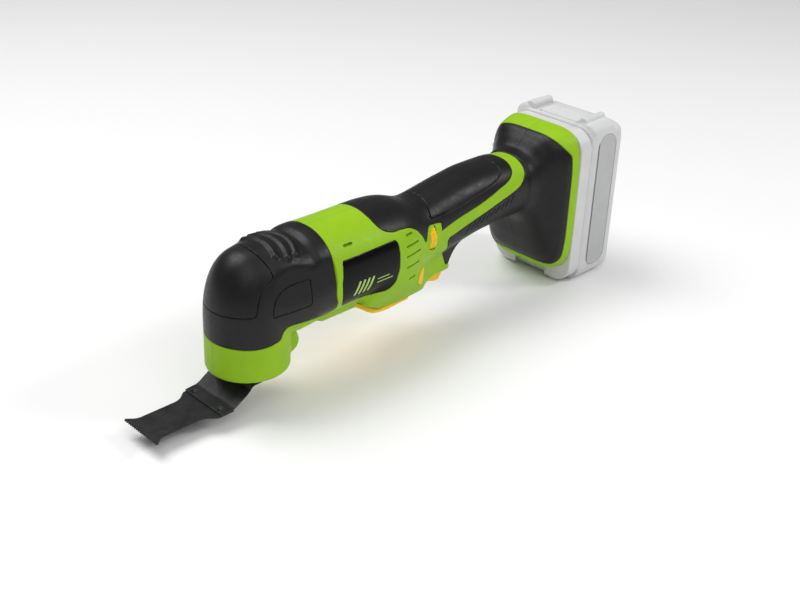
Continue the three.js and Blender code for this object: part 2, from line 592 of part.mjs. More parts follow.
function batteryShoe() {
  const opening = loft(shrink(FOOT, WALL + GAP, WALL), FACETS.inside);
  const plate = common(opening, box([248.5, FOOT_REAR - GAP], [-40, 40], [-20, 100]));
  const neck = box([FOOT_REAR - 1, RAIL.step + 0.2], [-RAIL.neck, RAIL.neck], [RAIL.low, RAIL.high]);
  const head = box([RAIL.step, RAIL.end], [-RAIL.head, RAIL.head], [RAIL.low, RAIL.high]);
  return cut(join(plate, neck, head), box([247, 252], [-8, 8], [30, 60]));
}

function terminalBlock() {
  const { high, tabHigh, tabs } = TERMINALS;
  const block = box([FOOT_REAR, RAIL.end], [-RAIL.neck, RAIL.neck], [RAIL.high + GAP, high]);
  return join(block, ...tabs.map((y) => box([258, 259.6], [y - 0.5, y + 0.5], [high - 1, tabHigh])));
}

// ---------------------------------------------------------------- battery pack
// The pack slides off upwards: its channel is open at the bottom and ends above the terminal block.
function packCaseFront() {
  const { front, split, bottom, top, half: halfWidth, wall } = PACK;
  const outline = roundRect(1 - halfWidth, halfWidth - 1, bottom + 2, top - 1, 13);
  const body = slab(outline, "front", [front, split - GAP], { arc: 4 });
  const channel = [bottom - 5, TERMINALS.high + 0.4];
  const neck = box([front - 1, RAIL.step + 0.1], [-RAIL.neck - 0.4, RAIL.neck + 0.4], channel);
  const head = box([RAIL.step - 0.4, RAIL.end + 0.4], [-RAIL.head - 0.4, RAIL.head + 0.4], channel);
  const slots = TERMINALS.tabs.map((y) =>
    box([257.6, 260], [y - 0.9, y + 0.9], [TERMINALS.high, TERMINALS.tabHigh + 0.6]));
  const pockets = [[-31, -19], [19, 31]].map((span) => box([RAIL.end + wall, split + 1], span, [-14, 76]));
  return cut(body, neck, head, ...slots, ...pockets);
}

function packCaseRear() {
  const { split, back, bottom, top, half: halfWidth, wall } = PACK;
  const face = roundRect(-halfWidth, halfWidth, bottom, top, 14);
  const plan = roundRect(split - 12, back, -halfWidth, halfWidth, 7);
  const side = roundRect(split - 12, back, bottom, top, 9);
  const outer = common(slab(face, "front", [split, back], { arc: 4 }),
    slab(plan, "plan", [-60, 120], { arc: 3 }), slab(side, "side", [-50, 50], { arc: 3 }));
  const innerOutline = roundRect(wall - halfWidth, halfWidth - wall, bottom + wall, top - wall, 9);
  const inner = slab(innerOutline, "front", [split - 1, back - wall], { arc: 4 });
  const shoulders = [[-34.6, -17.2], [17.2, 34.6]].map(([from, to]) =>
    slab(roundRect(from, to, 60, 89.6, 8), "front", [split + 1, 291], { arc: 3 }));
  const hollowShoulders = cut(join(...shoulders), inner);
  const nubs = [-NUB.y, NUB.y].map((y) => rod("x", NUB.radius, NUB.from, NUB.to, [y, NUB.z], 16));
  const latchHole = box([271.6, 288.4], [-16.4, 16.4], [top - 5, top + 5]);
  const recesses = [[-halfWidth - 1, 0.9 - halfWidth], [halfWidth - 0.9, halfWidth + 1]].map((span) =>
    slab(stadium(0.3), "side", span, { arc: 4 }));
  return cut(join(cut(outer, inner), hollowShoulders, ...nubs), latchHole, ...recesses);
}

const stadium = (extra) => roundRect(273 - extra, 292.4 + extra, -15.5 - extra, 81 + extra, 9.2 + extra);

function packLabel(side) {
  const span = side === "left" ? [0.3 - PACK.half, 0.8 - PACK.half] : [PACK.half - 0.8, PACK.half - 0.3];
  return slab(stadium(0), "side", span, { arc: 4 });
}

const cell = (i) =>
  rod("y", CELL.radius, -CELL.length / 2, CELL.length / 2, [CELL.x, CELL.first + i * CELL.pitch], 20);

function batteryBoard() {
  const board = box([272.4, 274], [-28, 28], [-12, 74]);
  return join(board, box([270, 273], [-11, 11], [64, 73.6]), box([273, 276], [-6, 6], [20, 32]));
}

function batteryLatch() {
  const bar = box([272, 288], [-16, 16], [PACK.top - 4, PACK.top + 1.2]);
  return join(bar, box([276, 284], [-10, 10], [PACK.top - 7, PACK.top - 3]));
}

// ---------------------------------------------------------------- the assembly
const FINISH = {
  green: { color: 0x94c12b, roughness: 0.45, metalness: 0 },
  rubber: { color: 0x26272a, roughness: 0.65, metalness: 0 },
  yellow: { color: 0xffc800, roughness: 0.4, metalness: 0 },
  panel: { color: 0x0c0c0e, roughness: 0.2, metalness: 0 },
  case: { color: 0xc9cacb, roughness: 0.4, metalness: 0 },
  inlay: { color: 0xb4b5b6, roughness: 0.35, metalness: 0 },
  steel: { color: 0x9a9da1, roughness: 0.35, metalness: 1 },
  blackSteel: { color: 0x2c2c2f, roughness: 0.45, metalness: 0.8 },
  alloy: { color: 0xb6b9bd, roughness: 0.5, metalness: 1 },
  copper: { color: 0xa5623a, roughness: 0.4, metalness: 1 },
  nylon: { color: 0x1d1e20, roughness: 0.55, metalness: 0 },
  board: { color: 0x1f5a36, roughness: 0.5, metalness: 0 },
  cell: { color: 0x3f7fae, roughness: 0.35, metalness: 0 },
  red: { color: 0xb51f1f, roughness: 0.5, metalness: 0 },
};

function geometryOf(shape) {
  const mesh = shape.getMesh();
  const geometry = new THREE.BufferGeometry();
  geometry.setAttribute("position", new THREE.BufferAttribute(new Float32Array(mesh.vertProperties), 3));
  geometry.setIndex(new THREE.BufferAttribute(new Uint32Array(mesh.triVerts), 1));
  geometry.computeVertexNormals();
  return geometry;
}

const group = new THREE.Group();

function add(name, shape, finish) {
  const mesh = new THREE.Mesh(geometryOf(shape), new THREE.MeshStandardMaterial(FINISH[finish]));
  mesh.name = name;
  group.add(mesh);
}

const shell = housingShell();
for (const side of ["left", "right"]) {
  add(`housing_${side}`, half(shell, side), "green");
  add(`head_grip_${side}`, headGrip(side), "rubber");
  add(`hump_grip_${side}`, gripPiece(HUMP_ZONE, side), "rubber");
  add(`handle_grip_${side}`, gripPiece(HANDLE_ZONE, side), "rubber");
  add(`rear_grip_${side}`, rearGrip(side), "rubber");
  add(`label_panel_${side}`, labelPanel(side), "panel");
  add(`battery_label_${side}`, packLabel(side), "inlay");
}
add("nose_cap", noseCap(), "rubber");
SCREWS.forEach((place, i) => add(`housing_screw_${i + 1}`, screw(...place), "steel"));

add("gearbox_case", gearboxCase(), "alloy");
add("spindle_bearing_lower", spindleBearing(6, 13), "steel");
add("spindle_bearing_upper", spindleBearing(53, 59), "steel");
add("spindle", spindle(), "steel");
add("oscillating_fork", oscillatingFork(), "steel");
add("blade_flange", bladeFlange(), "steel");
add("blade", blade(), "blackSteel");
add("clamp_bolt", clampBolt(), "steel");
add("clamp_spring", spring([0, 0], 3.2, 30.2, 49.4, 5, 0.6), "steel");
add("release_lever", releaseLever(), "yellow");
add("lever_pin", rod("y", PIVOT.pin, -9.8, 9.8, [PIVOT.x, PIVOT.z], 12), "steel");

add("motor_can", motorCan(), "alloy");
add("motor_end_bell", motorEndBell(), "nylon");
add("rotor_shaft", rotorShaft(), "steel");
add("armature_core", armatureCore(), "copper");
add("cooling_fan", coolingFan(), "nylon");
add("eccentric", eccentric(), "steel");
add("drive_bearing", driveBearing(), "steel");

add("speed_dial", speedDial(), "yellow");
add("trigger", trigger(), "yellow");
add("trigger_spring", spring([TRIGGER.spring, 0], 2.4, 11.8, 20, 4, 0.4), "steel");
add("lock_button", lockButton(), "yellow");
add("trigger_switch", triggerSwitch(), "nylon");
add("control_board", controlBoard(), "board");
add("motor_lead_red", lead(LEADS.red), "red");
add("motor_lead_black", lead(LEADS.black), "nylon");
add("battery_shoe", batteryShoe(), "nylon");
add("terminal_block", terminalBlock(), "nylon");

add("battery_case_front", packCaseFront(), "case");
add("battery_case_rear", packCaseRear(), "case");
add("battery_latch", batteryLatch(), "case");
add("battery_board", batteryBoard(), "board");
for (let i = 0; i < CELL.count; i += 1) add(`battery_cell_${i + 1}`, cell(i), "cell");

group.position.set(-(BLADE.tip + PACK.back) / 2, 0, -PACK.bottom);

export default group;
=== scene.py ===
"""Looks of a cordless oscillating multi-tool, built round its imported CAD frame.

Shapes are written in millimetres in the tool's own frame: x = 0 on the spindle axis, y = 0 between the
housing halves, z = 0 at the collar's lower rim. place() turns them into metres in the row frame. A shape is a
field, a function of x, y and z that is negative inside it, and contour() makes its mesh.
"""
import json
import math
from types import SimpleNamespace as Sizes

import bmesh
import bpy
import numpy as np
from mathutils import Matrix, Vector


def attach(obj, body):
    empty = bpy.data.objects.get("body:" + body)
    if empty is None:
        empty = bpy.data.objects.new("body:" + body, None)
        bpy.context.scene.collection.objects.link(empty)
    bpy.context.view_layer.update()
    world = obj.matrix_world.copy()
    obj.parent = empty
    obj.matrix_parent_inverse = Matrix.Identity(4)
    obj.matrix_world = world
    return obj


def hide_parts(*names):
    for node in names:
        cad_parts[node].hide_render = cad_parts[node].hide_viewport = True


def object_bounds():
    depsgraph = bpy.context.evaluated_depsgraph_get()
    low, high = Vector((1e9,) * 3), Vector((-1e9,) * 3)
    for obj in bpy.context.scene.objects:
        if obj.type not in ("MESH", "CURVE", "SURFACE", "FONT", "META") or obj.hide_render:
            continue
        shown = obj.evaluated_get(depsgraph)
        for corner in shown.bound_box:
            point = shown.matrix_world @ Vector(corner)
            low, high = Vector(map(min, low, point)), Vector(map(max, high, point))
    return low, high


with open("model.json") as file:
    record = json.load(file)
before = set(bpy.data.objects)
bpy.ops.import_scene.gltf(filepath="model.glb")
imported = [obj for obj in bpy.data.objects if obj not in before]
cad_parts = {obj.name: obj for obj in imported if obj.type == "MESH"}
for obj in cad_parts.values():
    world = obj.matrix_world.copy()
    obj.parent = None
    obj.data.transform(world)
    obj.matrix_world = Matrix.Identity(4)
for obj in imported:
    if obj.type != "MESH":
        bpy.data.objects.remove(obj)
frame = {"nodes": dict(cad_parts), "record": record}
CAD_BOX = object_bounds()
COARSE = 1.0
PIECE_FACES = 190_000  # the most triangles that a piece keeps
SHARP_ANGLE = math.radians(40)  # a mesh looks smooth across edges that turn less than this

# ------------------------ dimensions, close to the CAD's
BLADE_TIP = -77.0
PACK_BOTTOM = -26.0
SHIFT = (BLADE_TIP - CAD_BOX[0].x * 1000, 0.0, PACK_BOTTOM - CAD_BOX[0].z * 1000)

BODY = [  # x, top, bottom, half width, roundness of the section
    (-6, 71.5, 20, 17, 2), (0, 73.2, 16, 23.3, 2.1), (5, 74, 15.6, 25.4, 2.2),
    (10, 74.3, 15.3, 26.4, 2.3), (20, 73.8, 15, 27.2, 2.45), (26, 72.9, 15.2, 27.5, 2.4),
    (31, 72.4, 15.7, 27.8, 2.35), (36.5, 74.6, 16.2, 28.1, 2.27), (42, 75.2, 16.7, 28.3, 2.2),
    (50, 74.8, 17.1, 28.5, 2.15), (72, 74.8, 17.3, 28.7, 2.1), (92, 74.9, 17.3, 28.7, 2.1),
    (104, 74, 18.2, 27.9, 2.15), (111, 72.7, 19, 26.6, 2.2), (118, 70.4, 19.8, 25, 2.2),
    (124, 68.5, 20.6, 23.3, 2.2), (130, 67.8, 21.3, 22, 2.2), (145, 69.8, 23.5, 20.6, 2.25),
    (165, 72.7, 27, 20.5, 2.3), (185, 74.5, 30, 20.8, 2.3), (205, 74.3, 31, 20.9, 2.3),
    (222, 72.5, 31, 20.5, 2.3), (236, 72, 31, 20.5, 2.3),
]
FOOT = [
    (222, 72.4, 31, 20.4, 2.6), (229, 74.5, 24, 21.6, 3), (235, 80.5, 8, 24.8, 3.8),
    (240, 85, -3.5, 29, 4.4), (243, 86.2, -7.6, 31.2, 4.5), (245.5, 86.8, -11.6, 32.6, 4.6),
    (248, 87.3, -13.6, 33.2, 4.7), (256, 88.4, -14.6, 34.3, 5),
]
BARREL_REACH = (-6, 238)
FOOT_REACH = (223, 256)
COLLAR = Sizes(radius=25.2, base=30, top=74, roundness=2.3)
FACET = Sizes(start=20.7, along=0.088, lean=0.22, height=63, end=44.3, low=34)

# Outlines are (x, z) unless they say otherwise. A third number makes a point a corner: 0 is sharp, and more
# than 0 is how far the corner is cut back. The line runs smoothly through the other points.
UNDERSIDE = [
    (74, 40, 0), (74, 18.5, 1), (80, 14.8), (86, 11.4), (91, 8.6), (95, 8), (122, 8), (129, 9),
    (134, 10.3), (140, 11.8), (146, 12.3), (153, 11.3), (159.5, 10.8, 0.8), (161, 12.2, 0.8), (160.4, 15),
    (162.3, 19), (167.3, 24), (177, 28.6), (186, 33, 0), (186, 40, 0),
]
UNDERSIDE_WIDTH = [  # x, half width
    (74, 19, 0), (80, 22.5), (92, 25.5), (108, 25), (118, 22), (126, 18.5), (134, 14), (145, 11.4),
    (158, 9.6), (186, 7, 0), (186, -5, 0), (74, -5, 0),
]
UNDERSIDE_LEAN = Sizes(half=15.5, low=8, slope=0.55)  # how its sides lean out from its lowest height
SKIRT = [(9.9, 13.4, 0.4), (11.4, 13.9), (13.2, 15.6), (16.5, 21.4, 0), (9.9, 22.6, 0)]  # y, z
SKIRT_REACH = (43, 73.5)
HEAD_ZONE = [
    (-30, 22.3, 0), (0, 22.3), (5, 23.2), (8, 26.5), (12, 28.5), (22, 28.3), (34, 26.5), (41, 24.3),
    (46, 23.5), (48.6, 26), (47.8, 32), (45.2, 38), (44.3, 50), (44.3, 82, 0), (-30, 82, 0),
]
NOSE_ZONE = [
    (-30, 42, 0), (-11.2, 42, 2.5), (-9.8, 44.6), (-8.6, 49.4), (-6, 54.5), (-2, 58), (3.3, 61, 1),
    (3.1, 65), (2.2, 69.5), (0.7, 73.5), (0.7, 82, 0), (-30, 82, 0),
]
HUMP_ZONE = [
    (82.5, 82, 0), (82.5, 72), (84, 68), (87, 65.2), (92, 63.3), (100, 62.6), (107, 61.5), (113, 58.3),
    (118, 53), (120.5, 48.9), (122.3, 47, 0.6), (123.6, 49.5), (124.9, 52.5), (126.8, 55.1),
    (130.4, 55.4), (136, 54.7, 0), (136, 82, 0),
]
HANDLE_ZONE = [
    (124, 82, 0), (124, 54.9, 0), (130.4, 55.4), (138.7, 54.3, 1), (138.7, 48.6, 1), (150, 51.5),
    (175, 56.5), (193, 61.5), (204, 64.8), (209, 68.3), (211.5, 74), (211.5, 82, 0),
]
GRIP_JOINT = 130.4  # where the hump's grip meets the handle's
REAR_ZONE = [
    (147, 41.5), (149.5, 31), (153.5, 21), (156, 15.4, 0.8), (159.3, 15.2, 0.8), (164, 17, 0),
    (230, 17, 0), (230, -8, 0), (245.5, -8, 2), (249.5, -2, 2), (249.5, 73, 2), (244.5, 79, 2),
    (241.5, 84, 1), (241.5, 95, 0), (221.5, 95, 0), (221.5, 74), (219.5, 65), (214, 59.5), (204, 56),
    (192, 53), (169, 47), (151, 42.5),
]
LABEL_ZONE = [
    (50.1, 58.8, 1.5), (49.3, 52), (48.7, 45.4), (50.2, 36), (53.2, 28.2), (54.6, 26.5, 1), (82, 26.2),
    (90, 26.8), (94.2, 30), (95.4, 37), (95.2, 46), (94.6, 57, 2), (92.4, 59.3, 1),
]
VENTS = [(102, 108, 58.8), (101, 113, 52.2), (101, 115, 45.6), (102, 115, 37.6), (107, 114, 27.6)]
LOCK_OUTLINE = [
    (125, 28.8, 0.5), (126, 26.4), (126, 21), (124.8, 18), (121.3, 17), (119, 19.6), (119, 22.8),
    (121.6, 25.8),
]
TRIGGER_SIDE = [
    (130.4, 14, 0), (130.4, 9.4, 0.5), (137, 6.3), (145, 5.6), (150.5, 4), (154, 4.4), (156.4, 7.5, 1),
    (156.4, 14, 0),
]
HEAD_PANEL = [
    (-0.6, 39.4, 0.8), (26.2, 39.4, 2.5), (26.8, 55.4, 2), (12, 54.6), (6, 52.6), (2, 48.6), (0.2, 44),
]
HANDLE_PAD = [
    (136, 90, 0), (135, 68.5), (133.2, 65), (131.9, 61.5), (131.2, 58.8, 0.8), (148, 59), (174, 63.5),
    (190, 66.5), (196, 68.5), (199.5, 71), (200.5, 76), (200.5, 90, 0),
]
DIAL_TAB = [(124.6, 42, 0), (125.6, 49), (127.2, 53.9, 1.2), (138.2, 53, 1.2), (138.2, 42, 0)]
SCREWS = [  # x, z, and the half width of the surface there
    (36.5, 21.5, 17.6), (100, 19.5, 18), (160, 49.3, 20.3), (203, 60, 19.6), (241, 10, 29.6),
    (241, 66, 29.6),
]
SCREW_HOLE = Sizes(post=4.3, grip=3.6, head=3.4, depth=4.2, shank=1.8)
SCREW_SUNK = 1.9  # how far a screw's head lies below the surface

WALL = 4.0  # from the housing's surface to its inside
GRIP = 1.45  # how thick the soft grips are
BED = 1.7  # how deep they lie in the housing
LABEL = 0.9  # how thick the label panels are
LABEL_SUNK = 0.06
GAP = 0.12  # between a grip or panel and the edge of its bed
SEAM = 0.06  # half the gap between the housing's halves
PIVOT = Sizes(x=24, z=8, ear=7.3, half=11, hole=2.3)  # where the release lever turns
MOTOR_BORE = Sizes(z=46, radius=18.3, start=30, end=97.6)
DIAL = Sizes(x=129.8, y=-12.9, z=46, radius=10.4, half=2.6, hole=2.0, ribs=32)
FLANGE_MOUTH = 14.6  # radius of the hole in the collar's floor
SPRING_HOLE = Sizes(x=150, radius=3.2)  # for the trigger's spring
PIN_CIRCLE = 10.5  # radius of the circle that the four driving pins of the blade stand on

# The block that holds the lever's pin, and the rooms cut out of the housing, from corner to corner.
LEVER_WEB = ((8, -11, 4), (29, 11, 20))
LEVER_BED = ((31.9, -9.6, 6), (82.5, 9.6, 17.6))
ARM_SLOT = ((10, -5, -2), (36, 5, 16.4))
BELLY_ROOM = ((90.5, -13.4, 12.4), (124, 13.4, 36))
TRIGGER_POCKET = ((129.5, -7.6, 0), (157.6, 7.6, 20.5))
STEM_SLOT = ((136.8, -3.5, 19), (144.2, 3.5, 31))
TOP_SLOT = ((55.2, 65.3), (60.8, 65.3))  # x, z of the two ends of its middle line

LEVER_ARM = [
    (18, 12), (15.6, 9), (16.5, 5.5), (21, 3.2), (27, 3.4), (30, 7, 1), (31.9, 12.2, 0), (31.9, 15.6, 0),
    (26, 15.2),
]
LEVER_STRIP = [
    (31.1, 12.4, 0), (50, 13.8), (70, 14.4, 1.5), (76, 12.6), (87.6, 6.2), (90, 5.6), (118, 5.6, 1),
    (121.6, 7.7, 0.3), (91.6, 7.7, 1), (88.6, 9.2, 1), (79.2, 14.5), (75.6, 16.6, 0.5), (50, 16.4),
    (31.1, 15.6, 0),
]
LEVER_PLAN = [  # x, y
    (31.9, -9, 0.8), (74, -9, 3), (84, -14.6, 4), (118, -14.6, 2), (122, -11, 2), (122, 11, 2),
    (118, 14.6, 2), (84, 14.6, 4), (74, 9, 3), (31.9, 9, 0.8),
]
HUB_SIDE = [
    (30, -3.4, 0), (-9.6, -3.4, 1.5), (-13, -7.4, 2), (-24.3, -13.8, 1.5), (-33.5, -14.2, 0),
    (-33.5, -15.4, 0), (-24.9, -15.2, 2), (-13.9, -8.5, 2), (-10.2, -4.6, 1.5), (30, -4.6, 0),
]
HUB = Sizes(end=-33.5, half=17.5, bore=5.2)
TEETH = Sizes(count=18, half=17, depth=1.2)
TOOTHED_SIDE = [(-70.6, -11.7, 3), (-41.4, -11.7, 4), (-35, -17.2, 1), (-24, -17.2, 0)]  # x, y
TOOTHED_PLATE = Sizes(z=-15.85, half=0.55)

# The pack's case is a box whose front is cut off at the split.
PACK = Sizes(front=240, end=301, half=35, high=87, wall=2.4, split=267.65)
PACK_FRONT = Sizes(half=34, low=-24, high=86, x=262, reach=5.5)
STADIUM = ((273, -15.5), (292.4, 81), 9.2)  # the pack's side labels: two corners and how round they are
NUB = Sizes(y=22.5, z=89.2, radius=3.1, start=269.5, end=290)
# The rail's slot, which runs down out of the pack's bottom, and the slots for its terminals.
CHANNEL = Sizes(low=-40, high=67.4, neck=13.4, head=16.4, face=250, step=257.7, end=261)
TERMINALS = Sizes(y=(-9, 0, 9), half=0.9, low=65, high=75.6)
LATCH = Sizes(half=16, start=272, end=288, top=88.2)


# ------------------------ fields
FAR = 1e3  # what a field starts from where shapes are added one by one


def smin(a, b, k):
    """The smaller of two fields, blended over k millimetres, which rounds the inner corner between them."""
    h = np.clip(0.5 + 0.5 * (b - a) / k, 0, 1)
    return b + (a - b) * h - k * h * (1 - h)


def smax(a, b, k):
    """The larger of two fields, blended in the same way. Where they are equal it gives k / 4 more."""
    return -smin(-a, -b, k)


def cut(f, other, k=0):
    """f without the other shape, with the edge between them blended over k millimetres."""
    return smax(f, -other, k) if k else np.maximum(f, -other)


def hermite(t, start, end, leave, arrive):
    """A cubic from start at t = 0 to end at t = 1, with those slopes there."""
    return ((2 * t**3 - 3 * t**2 + 1) * start + (t**3 - 2 * t**2 + t) * leave
            + (3 * t**2 - 2 * t**3) * end + (t**3 - t**2) * arrive)


def curve(keys, column):
    """A smooth curve through (x, value) keys, as a function of x."""
    xs = np.array([key[0] for key in keys], float)
    ys = np.array([key[column] for key in keys], float)
    slope = np.diff(ys) / np.diff(xs)
    tangent = np.empty_like(ys)
    tangent[0], tangent[-1] = slope[0], slope[-1]
    product = slope[1:] * slope[:-1]
    total = slope[1:] + slope[:-1]
    tangent[1:-1] = np.where(product > 0, 2 * product / np.where(total == 0, 1, total), 0)
    grid = np.linspace(xs[0], xs[-1], 4001)
    i = np.clip(np.searchsorted(xs, grid, side="right") - 1, 0, len(xs) - 2)
    h = xs[i + 1] - xs[i]
    t = (grid - xs[i]) / h
    table = hermite(t, ys[i], ys[i + 1], h * tangent[i], h * tangent[i + 1])
    return lambda x: np.interp(x, grid, table)


def sections(keys):
    """The field of a skin through rounded sections that stand across x."""
    top, bottom, half, roundness = (curve(keys, i) for i in range(1, 5))

    def field(x, y, z):
        n, t, b, w = roundness(x), top(x), bottom(x), half(x)
        height = (t - b) / 2
        u = np.maximum(np.abs(y) / w, 1e-4)
        v = np.maximum(np.abs(z - (t + b) / 2) / height, 1e-4)
        un, vn = u**n, v**n
        q = np.maximum(un + vn, 1e-4) ** (1 / n)
        steep = np.maximum(q, 0.3) ** (1 - n) * np.hypot(un / u / w, vn / v / height)
        return (q - 1) / np.maximum(steep, 0.02)

    return field


def slanted(field, gap=0.5):
    """A field made true to distance where its sections change quickly along x."""
    def true(x, y, z):
        f = field(x, y, z)
        return f / np.hypot(1, (field(x + gap, y, z) - f) / gap)

    return true


def rounded(points):
    """A closed smooth line through points, with corners where a point has a third number."""
    curve_steps, corner_steps = 8, 6
    places = np.array([point[:2] for point in points], float)
    cuts = [point[2] if len(point) > 2 else None for point in points]
    chords = np.roll(places, -1, 0) - places
    lengths = np.linalg.norm(chords, axis=1)
    units = chords / lengths[:, None]
    tangents = np.roll(units, 1, 0) * lengths[:, None] + units * np.roll(lengths, 1)[:, None]
    tangents /= np.linalg.norm(tangents, axis=1, keepdims=True)
    line = []
    for i in range(len(places)):
        j = (i + 1) % len(places)
        start = places[i] + units[i] * min(cuts[i] or 0, lengths[i] / 2)
        end = places[j] - units[i] * min(cuts[j] or 0, lengths[i] / 2)
        span = np.linalg.norm(end - start)
        leave = tangents[i] if cuts[i] is None else units[i]
        arrive = tangents[j] if cuts[j] is None else units[i]
        t = np.linspace(0, 1, curve_steps + 1)[:-1, None]
        line.extend(hermite(t, start, end, span * leave, span * arrive))
        if cuts[j]:
            after = places[j] + units[j] * min(cuts[j], lengths[j] / 2)
            t = np.linspace(0, 1, corner_steps + 1)[:-1, None]
            line.extend((1 - t) ** 2 * end + 2 * t * (1 - t) * places[j] + t**2 * after)
    return np.array(line)


def distance(u, v, line):
    """The signed distance to a closed line through points, negative inside it."""
    best = np.full(u.shape, 1e9)
    inside = np.zeros(u.shape, bool)
    for (u0, v0), (u1, v1) in zip(line, np.roll(line, -1, 0)):
        du, dv = u1 - u0, v1 - v0
        length = du * du + dv * dv
        if length < 1e-12:
            continue
        t = np.clip(((u - u0) * du + (v - v0) * dv) / length, 0, 1)
        best = np.minimum(best, (u - u0 - t * du) ** 2 + (v - v0 - t * dv) ** 2)
        if v0 != v1:
            inside ^= ((v0 > v) != (v1 > v)) & (u < du * (v - v0) / dv + u0)
    return np.where(inside, -1, 1) * np.sqrt(best)


def outline(points, pitch=0.4, margin=14.0):
    """The signed distance to an outline, as a function of two coordinates, looked up from a table."""
    line = rounded(points)
    low = line.min(0) - margin
    count = np.ceil((line.max(0) + margin - low) / pitch).astype(int) + 1
    u = low[0] + pitch * np.arange(count[0])[:, None]
    v = low[1] + pitch * np.arange(count[1])[None, :]
    table = distance(*np.broadcast_arrays(u, v), line)

    def field(a, b):
        a = np.clip((a - low[0]) / pitch, 0, count[0] - 1.001)
        b = np.clip((b - low[1]) / pitch, 0, count[1] - 1.001)
        i, j = a.astype(np.int32), b.astype(np.int32)
        s, t = a - i, b - j
        i, j = np.broadcast_arrays(i, j)
        return ((table[i, j] * (1 - s) + table[i + 1, j] * s) * (1 - t)
                + (table[i, j + 1] * (1 - s) + table[i + 1, j + 1] * s) * t)

    return field


def rect(u, v, low, high, r):
    """A rectangle with round corners, in two coordinates."""
    a = np.abs(u - (low[0] + high[0]) / 2) - (high[0] - low[0]) / 2 + r
    b = np.abs(v - (low[1] + high[1]) / 2) - (high[1] - low[1]) / 2 + r
    return np.minimum(np.maximum(a, b), 0) + np.hypot(np.maximum(a, 0), np.maximum(b, 0)) - r


def block(x, y, z, low, high, r):
    """A box with round edges."""
    q = [np.abs(c - (a + b) / 2) - (b - a) / 2 + r for c, a, b in zip((x, y, z), low, high)]
    out = np.sqrt(sum(np.maximum(c, 0) ** 2 for c in q))
    return out + np.minimum(np.maximum(np.maximum(q[0], q[1]), q[2]), 0) - r


def bar(across, along, radius, low, high, r):
    """A round bar: "across" is the distance from its axis."""
    a = across - radius + r
    b = np.abs(along - (low + high) / 2) - (high - low) / 2 + r
    return np.minimum(np.maximum(a, b), 0) + np.hypot(np.maximum(a, 0), np.maximum(b, 0)) - r


def stroke(u, v, start, end, r):
    """A line of width 2r with round ends, in two coordinates."""
    du, dv = end[0] - start[0], end[1] - start[1]
    t = np.clip(((u - start[0]) * du + (v - start[1]) * dv) / (du * du + dv * dv), 0, 1)
    return np.hypot(u - start[0] - t * du, v - start[1] - t * dv) - r


# ------------------------ meshes
BLOCK = 8  # grid points along one side of a block that is sampled together
BLOCKS_AT_ONCE = 1500
REACH = 1.6  # how many blocks' sides from the surface a block is still sampled finely
CORNER_PULL = 0.04  # how strongly a vertex is held to the middle of its cell


def sample(field, low, high, step):
    """The field on a grid of points, read finely only near its surface."""
    blocks = np.ceil((np.array(high) - low) / step / BLOCK).astype(int) + 1
    values = np.empty(blocks * BLOCK, np.float32)
    cells = values.reshape(blocks[0], BLOCK, blocks[1], BLOCK, blocks[2], BLOCK).transpose(0, 2, 4, 1, 3, 5)
    place_of = np.indices(blocks).reshape(3, -1).T
    middle = low + (place_of * BLOCK + (BLOCK - 1) / 2) * step
    rough = field(*middle.T)
    near = np.abs(rough) < BLOCK * step * REACH
    far = place_of[~near]
    cells[far[:, 0], far[:, 1], far[:, 2]] = np.sign(rough[~near])[:, None, None, None]
    offsets = np.arange(BLOCK) * step
    for part in np.array_split(place_of[near], max(1, near.sum() // BLOCKS_AT_ONCE)):
        start = low + part * BLOCK * step
        x = (start[:, 0, None] + offsets)[:, :, None, None]
        y = (start[:, 1, None] + offsets)[:, None, :, None]
        z = (start[:, 2, None] + offsets)[:, None, None, :]
        shape = (len(part), BLOCK, BLOCK, BLOCK)
        cells[part[:, 0], part[:, 1], part[:, 2]] = np.broadcast_to(field(x, y, z), shape)
    return values


def gradient(field, points, gap=0.04):
    """The directions in which the field grows fastest."""
    sides = [field(*(points + move).T) - field(*(points - move).T) for move in np.eye(3) * gap]
    g = np.stack(sides, 1)
    return g / np.maximum(np.linalg.norm(g, axis=1, keepdims=True), 1e-9)


